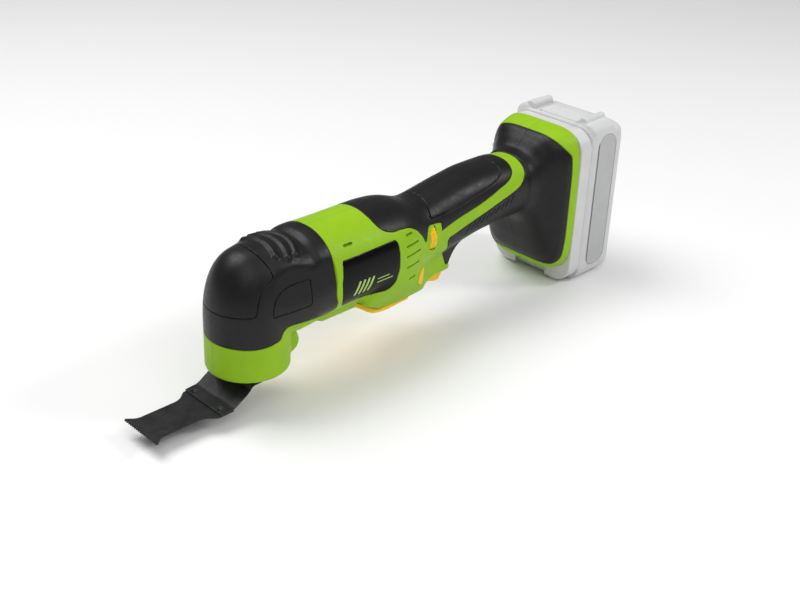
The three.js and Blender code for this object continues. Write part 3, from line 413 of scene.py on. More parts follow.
def contour(field, low, high, step):
    """Vertices and four-sided faces of the surface where the field is zero, with its sharp edges kept."""
    step *= COARSE
    low = np.array(low, float) - 2.03 * step
    high = np.array(high, float) + 2 * step
    values = sample(field, low, high, step)
    inside = values < 0
    points, around, flips = [], [], []
    strides = np.array([values.shape[1] * values.shape[2], values.shape[2], 1])
    for axis in range(3):
        first, second = [slice(1, -1)] * 3, [slice(1, -1)] * 3
        second[axis] = slice(2, None)
        found = np.argwhere(inside[tuple(first)] != inside[tuple(second)]) + 1
        step_along = np.eye(3, dtype=int)[axis]
        a = values[tuple(found.T)].astype(float)
        b = values[tuple((found + step_along).T)].astype(float)
        t = a / (a - b)
        start = low + found * step
        at = field(*(start + t[:, None] * step_along * step).T)
        left = (at < 0) == (a < 0)
        ta, va = np.where(left, t, 0), np.where(left, at, a)
        tb, vb = np.where(left, 1, t), np.where(left, b, at)
        gap = va - vb
        t = np.where(np.abs(gap) > 1e-9, ta + (tb - ta) * va / np.where(gap == 0, 1, gap), t)
        points.append(start + np.clip(t, 0, 1)[:, None] * step_along * step)
        u, v = np.roll(step_along, 1) @ strides, np.roll(step_along, 2) @ strides
        cell = found @ strides
        around.append(np.stack([cell - u - v, cell - v, cell, cell - u], 1))
        flips.append(a > 0)
    points, around = np.concatenate(points), np.concatenate(around)
    normals = gradient(field, points)
    flips = np.concatenate(flips)
    cells, vertex = np.unique(around, return_inverse=True)
    vertex = vertex.reshape(-1, 4)
    flat = vertex.ravel()

    def total(weights):
        return np.bincount(flat, np.repeat(weights, 4), len(cells))

    count = np.bincount(flat, minlength=len(cells))
    middle = np.stack([total(points[:, i]) for i in range(3)], 1) / count[:, None]
    planes = np.empty((len(cells), 3, 3))
    for i in range(3):
        for j in range(i, 3):
            planes[:, i, j] = planes[:, j, i] = total(normals[:, i] * normals[:, j])
    height = (normals * points).sum(1)
    right = np.stack([total(normals[:, i] * height) for i in range(3)], 1)
    right -= (planes @ middle[:, :, None])[:, :, 0]
    planes += np.eye(3) * (CORNER_PULL * count)[:, None, None]
    move = np.linalg.solve(planes, right[:, :, None])[:, :, 0]
    move /= np.maximum(np.linalg.norm(move, axis=1, keepdims=True) / (0.9 * step), 1)
    quads = np.where(flips[:, None], vertex[:, ::-1], vertex)
    return middle + move, quads


def place(points):
    """Millimetres in the tool's own frame, turned into metres in the row frame."""
    return (np.asarray(points, float) - SHIFT) / 1000


def shade(mesh):
    mesh.shade_smooth()
    mesh.set_sharp_from_angle(angle=SHARP_ANGLE)


def new_object(name, mesh):
    obj = bpy.data.objects.new(name, mesh)
    bpy.context.scene.collection.objects.link(obj)
    return obj


def mesh_object(name, points, quads, mirror=False):
    if mirror:
        points, quads = points * (1, -1, 1), quads[:, ::-1]
    mesh = bpy.data.meshes.new(name)
    mesh.vertices.add(len(points))
    mesh.vertices.foreach_set("co", place(points).astype(np.float32).ravel())
    mesh.loops.add(quads.size)
    mesh.loops.foreach_set("vertex_index", quads.astype(np.int32).ravel())
    mesh.polygons.add(len(quads))
    mesh.polygons.foreach_set("loop_start", np.arange(0, quads.size, 4, dtype=np.int32))
    mesh.update(calc_edges=True)
    mesh.validate()
    shade(mesh)
    return new_object(name, mesh)


def thin(obj, faces):
    """Takes the mesh down to a number of triangles, mostly from its flat places."""
    triangles = 2 * len(obj.data.polygons)
    if triangles <= faces:
        return
    modifier = obj.modifiers.new("thin", "DECIMATE")
    modifier.ratio = faces / triangles
    graph = bpy.context.evaluated_depsgraph_get()
    mesh = bpy.data.meshes.new_from_object(obj.evaluated_get(graph))
    obj.modifiers.clear()
    obj.data = mesh
    shade(mesh)


# ------------------------ the housing's outside
barrel_sections = sections(BODY)
foot_sections = slanted(sections(FOOT))
underside_side = outline(UNDERSIDE)
underside_plan = outline(UNDERSIDE_WIDTH)
skirt_front = outline(SKIRT, pitch=0.2)
zones = {"head": outline(HEAD_ZONE), "nose": outline(NOSE_ZONE), "hump": outline(HUMP_ZONE),
         "handle": outline(HANDLE_ZONE), "rear": outline(REAR_ZONE), "label": outline(LABEL_ZONE)}
dial_tab = outline(DIAL_TAB)
lock_outline = outline(LOCK_OUTLINE, pitch=0.2)
head_panel = outline(HEAD_PANEL)
handle_pad = outline(HANDLE_PAD)


def column(x, y, z):
    """The round collar with its dome."""
    n, radius, height = COLLAR.roundness, COLLAR.radius, COLLAR.top - COLLAR.base
    u = np.maximum(np.hypot(x, y) / radius, 1e-4)
    v = np.maximum((z - COLLAR.base) / height, 1e-4)
    q = (u**n + v**n) ** (1 / n)
    steep = np.maximum(q, 0.3) ** (1 - n) * np.hypot(u ** (n - 1) / radius, v ** (n - 1) / height)
    return smax((q - 1) / np.maximum(steep, 0.02), -z, 1.5)


def facets(x, y, z):
    """The space cut away beside the head, which leaves a flat on each side."""
    side = FACET.start + FACET.along * x + FACET.lean * (FACET.height - z)
    flat = (np.abs(y) - side) / math.hypot(1, FACET.along, FACET.lean)
    return np.maximum(-flat, np.maximum(x - FACET.end, FACET.low - z))


def hollow_skin(x, y, z):
    """The outside of the parts that are hollow: head, barrel, handle and foot."""
    barrel = smax(barrel_sections(x, y, z), np.maximum(BARREL_REACH[0] - x, x - BARREL_REACH[1]), 2)
    foot = smax(foot_sections(x, y, z), np.maximum(FOOT_REACH[0] - x, x - FOOT_REACH[1]), 1)
    f = smax(smin(column(x, y, z), barrel, 2), -facets(x, y, z), 0.9)
    return smin(f, foot, 3)


def underside(x, y, z):
    """The belly with the guard behind the trigger, and the two skirts beside the lever."""
    width = np.abs(y)
    slope = UNDERSIDE_LEAN.slope
    slant = (width - UNDERSIDE_LEAN.half - slope * (z - UNDERSIDE_LEAN.low)) / math.hypot(1, slope)
    belly = smax(smax(underside_side(x, z), underside_plan(x, width), 2), slant, 1.5)
    ends = np.maximum((SKIRT_REACH[0] - x + 1.6 * (17 - z)) / 1.9, x - SKIRT_REACH[1])
    return belly, smax(skirt_front(width, z), ends, 1)


def from_pivot(x, z):
    """The distance from the axis that the release lever turns on."""
    return np.hypot(x - PIVOT.x, z - PIVOT.z)


def skin(x, y, z):
    """The outside of the whole housing."""
    width = np.abs(y)
    belly, skirts = underside(x, y, z)
    boss = smax(from_pivot(x, z) - PIVOT.ear, width - PIVOT.half, 3)
    web = block(x, y, z, *LEVER_WEB, 2.5)
    hollow = hollow_skin(x, y, z)
    f = smin(smin(hollow, belly, 3), skirts, 1)
    f = smin(f, smin(boss, web, 2), 3)
    tab = smax(dial_tab(x, z), hollow - 0.55, 0.5)
    return smin(f, np.maximum(tab, 8 - width), 0.8)


def left_half(f, y):
    return smax(f, y + SEAM, 0.15)


def ribs(x, y, z, surface):
    """Three raised bars across the top of the head, each with a small knob at its ends."""
    f = FAR
    width = np.abs(y)
    low = np.maximum(52 - z, 0)
    for middle, end, reach in ((12, 9.8, 15), (20, 16.5, 18), (27.5, 22.6, 17.5)):
        line = middle + (end - middle) * np.minimum(width / reach, 1) ** 2
        over = np.maximum(width - reach, 0) * 1.25
        f = np.minimum(f, np.sqrt((x - line) ** 2 + (surface + 0.5) ** 2 + over**2 + low**2) - 1.7)
        knob = np.sqrt((x - end) ** 2 + (surface + 0.7) ** 2 + ((width - reach) * 1.2) ** 2 + low**2) - 2.05
        f = smin(f, knob, 0.5)
    return f


def groove(f, line, depth, surface, r=0.3):
    """f with a groove of that depth cut along where "line" is negative."""
    return cut(f, smax(line, -(surface + depth), r), r)


def grip(zone, x, y, z, detail=None):
    """The soft layer in a zone. "detail" changes its outer surface."""
    surface = skin(x, y, z)
    outer = surface if detail is None else detail(x, y, z, surface)
    f = smax(outer, zones[zone](x, z) + GAP, 0.7)
    return cut(f, surface + GRIP)


def head_detail(x, y, z, surface):
    """The ribs, and the line round the panel on each side."""
    f = smin(surface, ribs(x, y, z, surface), 1.2)
    side = np.maximum(15 - np.abs(y), np.abs(head_panel(x, z)) - 0.32)
    return groove(f, side, 0.55, surface)


def handle_detail(x, y, z, surface):
    """The line round the pad, which is wider and deeper in front of x = 139."""
    front = np.clip((139 - x) / 3, 0, 1)
    return groove(surface, np.abs(handle_pad(x, z)) - 0.28 - 0.17 * front, 0.5 + 0.4 * front, surface)


def rear_detail(x, y, z, surface):
    """A row of slanted dashes below the handle's green stripe."""
    f = surface
    side = np.maximum(x - 212, 15 - np.abs(y))
    for i in range(10):
        start = (163.5 + 4.4 * i, 39.8 + 1.05 * i)
        dash = stroke(x, z, start, (start[0] + 2.6, start[1] + 4.4), 0.42)
        f = groove(f, np.maximum(dash, side), 0.5, surface)
    return f


def head_grip(x, y, z):
    f = grip("head", x, y, z, head_detail)
    return left_half(cut(f, zones["nose"](x, z) - GAP, 0.5), y)


def nose_cap(x, y, z):
    return grip("nose", x, y, z)


def hump_grip(x, y, z):
    f = left_half(grip("hump", x, y, z), y)
    return np.maximum(f, x - GRIP_JOINT + 0.05)


def handle_grip(x, y, z):
    f = left_half(grip("handle", x, y, z, handle_detail), y)
    return np.maximum(f, GRIP_JOINT + 0.05 - x)


def rear_grip(x, y, z):
    f = left_half(grip("rear", x, y, z, rear_detail), y)
    return cut(f, block(x, y, z, *TRIGGER_POCKET, 1), 0.4)


def screw_holes(x, z, radius):
    """Round bars along y at all the housing's screws."""
    f = FAR
    for sx, sz, _ in SCREWS:
        f = np.minimum(f, np.hypot(x - sx, z - sz) - radius)
    return f


def rear_grip_right(x, y, z):
    return cut(rear_grip(x, y, z), screw_holes(x, z, SCREW_HOLE.grip), 0.5)


def label_panel(x, y, z):
    surface = skin(x, y, z)
    f = smax(surface + LABEL_SUNK, zones["label"](x, z) + GAP, 0.5)
    return np.maximum(cut(f, surface + LABEL), y + 8)


def vents(x, y, z):
    f = FAR
    for x0, x1, height in VENTS:
        f = np.minimum(f, stroke(x, z, (x0 + 0.6, height), (x1 - 0.6, height), 0.62))
    return np.maximum(f, 12 - np.abs(y))


def housing_shell(x, y, z, surface):
    """The hollow housing, with beds for the grips and label panels and posts for the screws."""
    grips = np.minimum(np.minimum(zones["head"](x, z), zones["hump"](x, z)),
                       np.minimum(zones["handle"](x, z), zones["rear"](x, z)))
    outer = smax(smax(surface, -grips, 0.5), -zones["label"](x, z), 0.5)
    outer = np.minimum(outer, np.maximum(surface + LABEL + 0.2, -grips))
    outer = np.minimum(outer, surface + BED)
    belly = block(x, y, z, *BELLY_ROOM, 1)
    f = np.maximum(outer, -np.minimum(hollow_skin(x, y, z) + WALL, belly))
    return np.minimum(f, np.maximum(screw_holes(x, z, SCREW_HOLE.post), surface + BED))


def dial_opening(f, x, y, z):
    wheel = bar(np.hypot(y - DIAL.y, z - DIAL.z), x, DIAL.radius + 0.5,
                DIAL.x - DIAL.half - 0.5, DIAL.x + DIAL.half + 0.5, 0.3)
    return cut(f, wheel, 0.4)


def screw_openings(f, x, y, z):
    for sx, sz, sy in SCREWS:
        across = np.hypot(x - sx, z - sz)
        f = cut(f, bar(across, -y, SCREW_HOLE.head, sy - SCREW_HOLE.depth, sy + 12, 0.2), 0.4)
        f = cut(f, bar(across, -y, SCREW_HOLE.shank, -20, sy, 0.1))
    return f


def housing(x, y, z, opening):
    """One half of the housing as if it were the left one, with the openings of only that half."""
    surface = skin(x, y, z)
    f = housing_shell(x, y, z, surface)
    motor = np.hypot(y, z - MOTOR_BORE.z)
    f = cut(f, bar(motor, x, MOTOR_BORE.radius, MOTOR_BORE.start, MOTOR_BORE.end, 0.2))
    f = cut(f, vents(x, y, z))
    f = groove(f, np.maximum(stroke(x, z, *TOP_SLOT, 0.8), 10 - np.abs(y)), 2.6, surface, 0.2)
    f = cut(f, lock_outline(x, z) - 0.25, 0.3)
    f = cut(f, block(x, y, z, *TRIGGER_POCKET, 0.8))
    f = cut(f, block(x, y, z, *STEM_SLOT, 0.3))
    f = cut(f, bar(np.hypot(x - SPRING_HOLE.x, y), z, SPRING_HOLE.radius, 18, 26, 0.2))
    f = cut(f, bar(np.hypot(x, y), z, FLANGE_MOUTH, -2, WALL + 0.5, 0.2))
    f = cut(f, block(x, y, z, *ARM_SLOT, 0.4))
    f = cut(f, block(x, y, z, *LEVER_BED, 0.6))
    f = cut(f, bar(from_pivot(x, z), y, PIVOT.hole, -10, 10, 0.1))
    return left_half(opening(f, x, y, z), y)


def housing_left(x, y, z):
    return housing(x, y, z, dial_opening)


def housing_right(x, y, z):
    return housing(x, y, z, screw_openings)


# ------------------------ other pieces' shapes
trigger_side = outline(TRIGGER_SIDE, pitch=0.25)
lever_arm = outline(LEVER_ARM, pitch=0.2)
lever_strip = outline(LEVER_STRIP, pitch=0.2)
lever_plan = outline(LEVER_PLAN, pitch=0.25)


def label_motif(x, y, z):
    """Four slanted bars and two fine lines, in place of any lettering."""
    flat = FAR
    for i in range(4):
        start = (60.2 + 3.6 * i, 33.6)
        flat = np.minimum(flat, stroke(x, z, start, (start[0] + 2.4, start[1] + 8.4), 0.85))
    flat = np.minimum(flat, stroke(x, z, (77.5, 36.5), (90, 36.5), 0.35))
    flat = np.minimum(flat, stroke(x, z, (77.5, 39.2), (86.5, 39.2), 0.35))
    depth = np.abs(skin(x, y, z) + LABEL_SUNK + 0.02) - 0.12
    return np.maximum(np.maximum(flat, depth), y + 8)


def lock_button(x, y, z):
    """A bar right through the handle, which stands out on both sides."""
    return smax(lock_outline(x, z), skin(x, y, z) - 0.7, 1.2)


def trigger(x, y, z):
    f = smax(trigger_side(x, z), np.abs(y) - 7, 2.4)
    f = np.minimum(f, block(x, y, z, (138, -2.8, 12), (143, 2.8, 33), 0.5))
    for i in range(4):
        f = cut(f, np.hypot(x - 137.5 - 2.2 * i, z - 5 + 0.32 * i) - 0.75, 0.5)
    return cut(f, bar(np.hypot(x - SPRING_HOLE.x, y), z, SPRING_HOLE.radius, 11, 20, 0.2))


def release_lever(x, y, z):
    """An arm in its slot, and behind it a strip that widens into a paddle."""
    width = np.abs(y)
    arm = smax(np.minimum(lever_arm(x, z), lever_strip(x, z)), width - 4.7, 0.8)
    arm = np.maximum(arm, x - 45)
    strip = smax(lever_strip(x, z), lever_plan(x, y), 1)
    f = smin(arm, strip, 0.6)
    for i in range(6):
        f = cut(f, smax(np.hypot(x - 98 - 3 * i, z - 5.3) - 0.7, width - 11, 0.5), 0.4)
    return np.maximum(f, PIVOT.hole - from_pivot(x, z))


def speed_dial(x, y, z):
    """A wheel with a ribbed rim and a plain groove round its middle."""
    across = np.abs(x - DIAL.x)
    radius = np.hypot(y - DIAL.y, z - DIAL.z)
    angle = np.arctan2(z - DIAL.z, y - DIAL.y)
    f = bar(radius, x, DIAL.radius, DIAL.x - DIAL.half, DIAL.x + DIAL.half, 0.4)
    rib = 0.5 * np.clip(1.2 * np.cos(angle * DIAL.ribs) + 0.2, 0, 1)
    f = smax(f, radius - DIAL.radius + rib * np.clip((across - 0.5) * 3, 0, 1), 0.1)
    f = cut(f, np.hypot(across - 0.45, radius - DIAL.radius) - 0.3, 0.15)
    return np.maximum(f, DIAL.hole - radius)


def screw(x, y, z):
    """A six-lobe screw along y, its head's face at y = 0 and outwards towards +y."""
    r = np.hypot(x, z)
    angle = np.arctan2(z, x)
    head = bar(r, y, 2.85, -2.2, 0, 0.45)
    shank = bar(r, y, 1.35, -16, -1.5, 0.3)
    socket = bar(r - 0.28 * np.cos(6 * angle), y, 1.2, -1.4, 2, 0.1)
    return np.minimum(cut(head, socket, 0.15), shank)


def from_pins(x, y):
    """The distance from the nearest of the four pins that drive the blade."""
    diagonal = PIN_CIRCLE * math.sqrt(0.5)
    return np.hypot(np.abs(x) - diagonal, np.abs(y) - diagonal)


def blade_flange(x, y, z):
    r = np.hypot(x, y)
    f = np.minimum(bar(r, z, 13.6, -3.1, -1.0, 0.4), bar(r, z, 9, -3.1, 2.4, 0.6))
    f = np.maximum(f, np.where(z > -1.2, 6.2, 2.8) - r)
    return np.minimum(f, bar(from_pins(x, y), z, 1.5, -4.5, -2.4, 0.3))


def clamp_bolt(x, y, z):
    r = np.hypot(x, y)
    angle = np.arctan2(y, x)
    head = bar(r, z, 8.6, -7.5, -4.9, 1.1)
    socket = bar(r - 0.15 * np.cos(6 * angle), z, 3.1, -9, -6.2, 0.2)
    stem = bar(r, z, 2.3, -6, 52, 0.3)
    return np.minimum(np.minimum(cut(head, socket, 0.3), stem), bar(r, z, 3.9, 50.4, 53, 0.4))


def toothed_plan():
    """The toothed plate's outline in x and y."""
    count, half = TEETH.count, TEETH.half
    pitch = 2 * half / count
    edge = []
    for i in range(count):
        edge += [(BLADE_TIP, half - i * pitch, 0), (BLADE_TIP + TEETH.depth, half - (i + 0.5) * pitch, 0)]
    lower = [(BLADE_TIP, -half, 0), *TOOTHED_SIDE]
    return edge + lower + [(x, -y, corner) for x, y, corner in lower[:0:-1]]


def hub_plan():
    """The hub plate's outline in x and y: a half circle round the spindle, and a straight end."""
    end, half = HUB.end, HUB.half
    angles = np.linspace(-math.pi / 2, math.pi / 2, 13)
    back = [(half * math.cos(angle), half * math.sin(angle)) for angle in angles]
    return [(end, -half, 1.2), *back, (end, half, 1.2)]


hub_outline = outline(hub_plan(), pitch=0.15, margin=6)
toothed_outline = outline(toothed_plan(), pitch=0.12, margin=6)
hub_side = outline(HUB_SIDE, pitch=0.1, margin=6)


def blade(x, y, z):
    """A stepped hub plate, and the thinner toothed plate welded under its end."""
    f = smax(hub_side(x, z), hub_outline(x, y), 0.2)
    layer = np.abs(z - TOOTHED_PLATE.z) - TOOTHED_PLATE.half
    f = smin(f, smax(toothed_outline(x, y), layer, 0.15), 0.15)
    dimple = np.sqrt((x + 30.4) ** 2 + (np.abs(y) - 12.2) ** 2 + (z + 12.6) ** 2) - 2.4
    f = cut(f, dimple, 0.3)
    f = smax(f, HUB.bore - np.hypot(x, y), 0.2)
    return smax(f, 1.8 - from_pins(x, y), 0.2)


def pack_front(x, y, z):
    """The pack's front plate, with slots for the rail and its terminals, and a hollow on each side."""
    width, low, high = np.abs(y), PACK_FRONT.low, PACK_FRONT.high
    plate = rect(y, z, (-PACK_FRONT.half, low), (PACK_FRONT.half, high), 13)
    f = smax(plate, np.abs(x - PACK_FRONT.x) - PACK_FRONT.reach, 1)
    step, neck, head = CHANNEL.step, CHANNEL.neck, CHANNEL.head
    for half, front, back in ((neck, CHANNEL.face, step), (head, step - 0.5, CHANNEL.end)):
        f = cut(f, block(x, y, z, (front, -half, CHANNEL.low), (back, half, CHANNEL.high), 0.3))
    for middle in TERMINALS.y:
        near = (step - 0.1, middle - TERMINALS.half, TERMINALS.low)
        far = (step + 2.3, middle + TERMINALS.half, TERMINALS.high)
        f = cut(f, block(x, y, z, near, far, 0.2))
    return cut(f, block(x, width, z, (262.8, 19, -14), (272, 31, 76), 2))


def stadium(x, z, extra):
    """The outline of the pack's side labels, made larger all round by "extra"."""
    (x0, z0), (x1, z1), r = STADIUM
    return rect(x, z, (x0 - extra, z0 - extra), (x1 + extra, z1 + extra), r + extra)


def pack_body(x, y, z):
    """The pack's box with round edges. Each wall lies in two of the rectangles, whose blend would sink it."""
    front, end, half, high, blend = PACK.front, PACK.end, PACK.half, PACK.high, 3
    face = rect(y, z, (-half, PACK_BOTTOM), (half, high), 14)
    plan = rect(x, y, (front, -half), (end, half), 7)
    side = rect(x, z, (front, PACK_BOTTOM), (end, high), 9)
    return smax(smax(face, plan, blend), side, blend) - blend / 4


def pack_rear(x, y, z):
    """The pack's case, with two shoulders on top, a bevelled front rim and beds for its labels."""
    width, wall, split = np.abs(y), PACK.wall, PACK.split
    shoulder = smax(rect(width, z, (17.2, 60), (34.6, 89.6), 8), np.maximum(x - 291, 268.5 - x), 3)
    f = smin(pack_body(x, y, z), shoulder, 1)
    f = smax(f, split - x, 1)
    f = smax(f, (width - 33.4 - 0.32 * (x - 267.6)) / 1.05, 1)
    nub = bar(np.hypot(width - NUB.y, z - NUB.z), x, NUB.radius, NUB.start, NUB.end, 0.8)
    f = smin(f, nub, 0.5)
    inside = PACK.half - wall
    room = rect(y, z, (-inside, PACK_BOTTOM + wall), (inside, PACK.high - wall), 11)
    f = cut(f, smax(room, x - PACK.end + wall, 3))
    side = LATCH.half + 0.4
    f = cut(f, block(x, y, z, (LATCH.start - 0.4, -side, 80), (LATCH.end + 0.4, side, 95), 0.4))
    return cut(f, np.maximum(stadium(x, z, 0.3), 34.1 - width), 0.3)


def pack_latch(x, y, z):
    f = block(x, y, z, (LATCH.start, -LATCH.half, 83), (LATCH.end, LATCH.half, LATCH.top), 2.2)
    for i in range(4):
        f = cut(f, np.hypot(x - 276 - 2.7 * i, z - 88.5) - 0.8, 0.3)
    return np.minimum(f, block(x, y, z, (276, -10, 80), (284, 10, 84), 0.5))


def pack_label(x, y, z):
    return smax(stadium(x, z, 0), np.abs(y + 34.45) - 0.3, 0.3)


# ------------------------ materials
def set_inputs(node, values):
    for key, value in values.items():
        node.inputs[key.replace("_", " ")].default_value = value


def new_material(name, **values):
    """A material with its node tree and its shader, whose inputs get the values."""
    material = bpy.data.materials.new(name)
    material.use_nodes = True
    tree = material.node_tree
    shader = tree.nodes["Principled BSDF"]
    set_inputs(shader, values)
    return material, tree, shader


def add_node(tree, kind, inputs={}, **settings):
    node = tree.nodes.new(kind)
    set_inputs(node, inputs)
    for key, value in settings.items():
        setattr(node, key, value)
    return node


def noise(tree, size, detail=3.0, stretch=(1, 1, 1), roughness=0.5):
    """Noise whose features are about "size" metres across."""
    place_node = add_node(tree, "ShaderNodeTexCoord")
    mapping = add_node(tree, "ShaderNodeMapping", {"Scale": stretch})
    values = {"Scale": 1 / size, "Detail": detail, "Roughness": roughness}
    texture = add_node(tree, "ShaderNodeTexNoise", values)
    tree.links.new(place_node.outputs["Object"], mapping.inputs["Vector"])
    tree.links.new(mapping.outputs["Vector"], texture.inputs["Vector"])
    return texture.outputs["Fac"]


def spread(tree, value, low, high, start=0.3, end=0.7):
    """A value that runs from low to high while the given one runs from start to end."""
    values = {"From Min": start, "From Max": end, "To Min": low, "To Max": high}
    node = add_node(tree, "ShaderNodeMapRange", values)
    tree.links.new(value, node.inputs["Value"])
    return node.outputs["Result"]


def blend_colors(tree, factor, first, second):
    """A blend of two colours. The first one may be another node's output."""
    node = add_node(tree, "ShaderNodeMix", data_type="RGBA")
    sockets = [socket for socket in node.inputs if socket.type == "RGBA"]
    if isinstance(first, tuple):
        sockets[0].default_value = (*first, 1)
    else:
        tree.links.new(first, sockets[0])
    sockets[1].default_value = (*second, 1)
    tree.links.new(factor, node.inputs["Factor"])
    return next(socket for socket in node.outputs if socket.type == "RGBA")


def dress(tree, shader, color, rough, height, depth, strength=1.0):
    """Gives a shader its colour and its roughness, and bumps up to that depth."""
    bump = add_node(tree, "ShaderNodeBump", {"Strength": strength, "Distance": depth})
    tree.links.new(height, bump.inputs["Height"])
    for socket, value in (("Base Color", color), ("Roughness", rough), ("Normal", bump.outputs["Normal"])):
        tree.links.new(value, shader.inputs[socket])


def moulded(name, color, rough, grain=0.0007, depth=0.000012, shade=0.88, mottle=0.012, specular=0.5):
    """Moulded plastic or rubber: a fine spark texture, faint cloudiness and uneven gloss."""
    material, tree, shader = new_material(name, Specular_IOR_Level=specular)
    cloud = spread(tree, noise(tree, mottle, 4), 0, 1, 0.35, 0.68)
    gloss = spread(tree, noise(tree, mottle * 0.35, 5), rough - 0.06, rough + 0.07)
    darker = tuple(c * shade for c in color)
    dress(tree, shader, blend_colors(tree, cloud, darker, color), gloss, noise(tree, grain, 2), depth)
    return material


def metal(name, color, rough, stretch=(1, 1, 14), scratch=0.0012, depth=0.000006):
    """Machined metal with fine lines along one direction and a cloudy finish."""
    material, tree, shader = new_material(name, Metallic=1.0)
    lines = noise(tree, scratch, 3, stretch)
    cloud = spread(tree, noise(tree, 0.009, 4), 0, 1)
    darker = tuple(c * 0.8 for c in color)
    gloss = spread(tree, lines, rough - 0.08, rough + 0.1)
    dress(tree, shader, blend_colors(tree, cloud, darker, color), gloss, lines, depth)
    return material


def banded(name, first, second, size, rough, metallic=0.0, along="X"):
    """Fine bands along one axis, such as laminations or a wound sleeve."""
    material, tree, shader = new_material(name, Metallic=metallic)
    place_node = add_node(tree, "ShaderNodeTexCoord")
    wave = add_node(tree, "ShaderNodeTexWave", {"Scale": 1 / size / 3.2, "Distortion": 0.4},
                    wave_type="BANDS", bands_direction=along)
    tree.links.new(place_node.outputs["Object"], wave.inputs["Vector"])
    band = wave.outputs["Fac"]
    gloss = spread(tree, noise(tree, 0.002), rough - 0.08, rough + 0.08)
    dress(tree, shader, blend_colors(tree, band, first, second), gloss, band, 0.00003, 0.5)
    return material


def blade_material():
    """Black oxide: brushed along the blade, cloudy, with fine handling scratches."""
    material, tree, shader = new_material("blade_steel", Metallic=0.55)
    cloud = noise(tree, 0.007, 6)
    lines = noise(tree, 0.0011, 3, (0.12, 1, 1))
    marks = noise(tree, 0.0042, 8, (0.35, 1.3, 1), 0.72)
    base = blend_colors(tree, spread(tree, cloud, 0, 1), (0.016, 0.016, 0.017), (0.034, 0.034, 0.036))
    scratched = blend_colors(tree, spread(tree, marks, 0, 0.8, 0.66, 0.78), base, (0.07, 0.07, 0.073))
    dress(tree, shader, scratched, spread(tree, lines, 0.36, 0.55), lines, 0.000012)
    return material


MATERIALS = {
    "green_plastic": moulded("green_plastic", (0.30, 0.545, 0.0115), 0.46, shade=0.94, specular=0.2),
    "soft_grip": moulded("soft_grip", (0.0075, 0.0076, 0.0079), 0.4, 0.0009, 0.00003, 0.7, 0.006, 0.3),
    "gloss_panel": moulded("gloss_panel", (0.003, 0.003, 0.0034), 0.2, 0.004, 0.000004, 0.7, specular=0.12),
    "yellow_plastic": moulded("yellow_plastic", (0.98, 0.60, 0.003), 0.4, shade=0.94, specular=0.3),
    "battery_plastic": moulded("battery_plastic", (0.66, 0.662, 0.665), 0.42, 0.0009, shade=0.95,
                               specular=0.35),
    "battery_inlay": moulded("battery_inlay", (0.47, 0.473, 0.477), 0.36, shade=0.94),
    "bright_steel": metal("bright_steel", (0.62, 0.63, 0.65), 0.3),
    "blade_steel": blade_material(),
    "gearbox_alloy": metal("gearbox_alloy", (0.55, 0.56, 0.58), 0.5, (1, 1, 1), 0.0008, 0.00003),
    "motor_steel": metal("motor_steel", (0.5, 0.51, 0.53), 0.34, (12, 1, 1)),
    "wound_core": banded("wound_core", (0.10, 0.10, 0.11), (0.48, 0.20, 0.08), 0.0012, 0.42, 0.7),
    "black_nylon": moulded("black_nylon", (0.022, 0.022, 0.024), 0.5, depth=0.00003),
    "red_lead": moulded("red_lead", (0.45, 0.02, 0.02), 0.4, grain=0.0004),
    "circuit_board": moulded("circuit_board", (0.02, 0.12, 0.05), 0.35, 0.0012, shade=0.6, mottle=0.002),
    "cell_sleeve": banded("cell_sleeve", (0.06, 0.20, 0.40), (0.07, 0.23, 0.44), 0.02, 0.32, 0.0, "Y"),
    "motif": moulded("motif", (0.42, 0.62, 0.12), 0.3, shade=0.9),
}

# ------------------------ building the pieces
slot_of = {row["node"]: row["material_slot"] for row in frame["record"]["subparts"]}


def settle(obj, node, body, slot=None, material=None):
    """Gives a piece its material, chosen by its slot, and its body, and hides the CAD node that it stands
    for.
    """
    slot = slot or slot_of[node]
    obj.data.materials.clear()
    obj.data.materials.append(MATERIALS[material or slot])
    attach(obj, body)
    if node is not None:
        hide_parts(node)


def build(name, field, low, high, step, body="housing", mirror=False):
    points, quads = contour(field, low, high, step)
    obj = mesh_object(name, points, quads, mirror)
    thin(obj, PIECE_FACES / COARSE)
    settle(obj, name, body)


def build_pair(name, field, low, high, step, body="housing"):
    """The left piece, and its mirror image on the right."""
    points, quads = contour(field, low, high, step)
    for side, mirror in (("left", False), ("right", True)):
        obj = mesh_object(f"{name}_{side}", points, quads, mirror)
        thin(obj, PIECE_FACES)
        settle(obj, f"{name}_{side}", body)


def build_housing():
    build_pair("head_grip", head_grip, (-27, -31, 20), (52, 0, 79), 0.45)
    build("nose_cap", nose_cap, (-27, -27, 41), (6, 27, 74), 0.4)
    build_pair("hump_grip", hump_grip, (81, -31, 45), (132.5, 0, 78), 0.5)
    build_pair("handle_grip", handle_grip, (130, -24, 46), (214, 0, 78), 0.5)
    build("rear_grip_left", rear_grip, (145, -37, -15), (252, 0, 91), 0.55)
    build("rear_grip_right", rear_grip_right, (145, -37, -15), (252, 0, 91), 0.55, mirror=True)
    build_pair("label_panel", label_panel, (49, -31, 23), (98, -6, 61), 0.45)
    low, high = (-27, -37, -16), (258, 0, 91)
    build("housing_left", housing_left, low, high, 0.7)
    build("housing_right", housing_right, low, high, 0.7, mirror=True)
    points, quads = contour(label_motif, (57, -31, 31), (93, -20, 45), 0.2)
    for side, mirror in (("left", False), ("right", True)):
        motif = mesh_object(f"label_motif_{side}", points, quads, mirror)
        settle(motif, None, "housing", "gloss_panel", "motif")


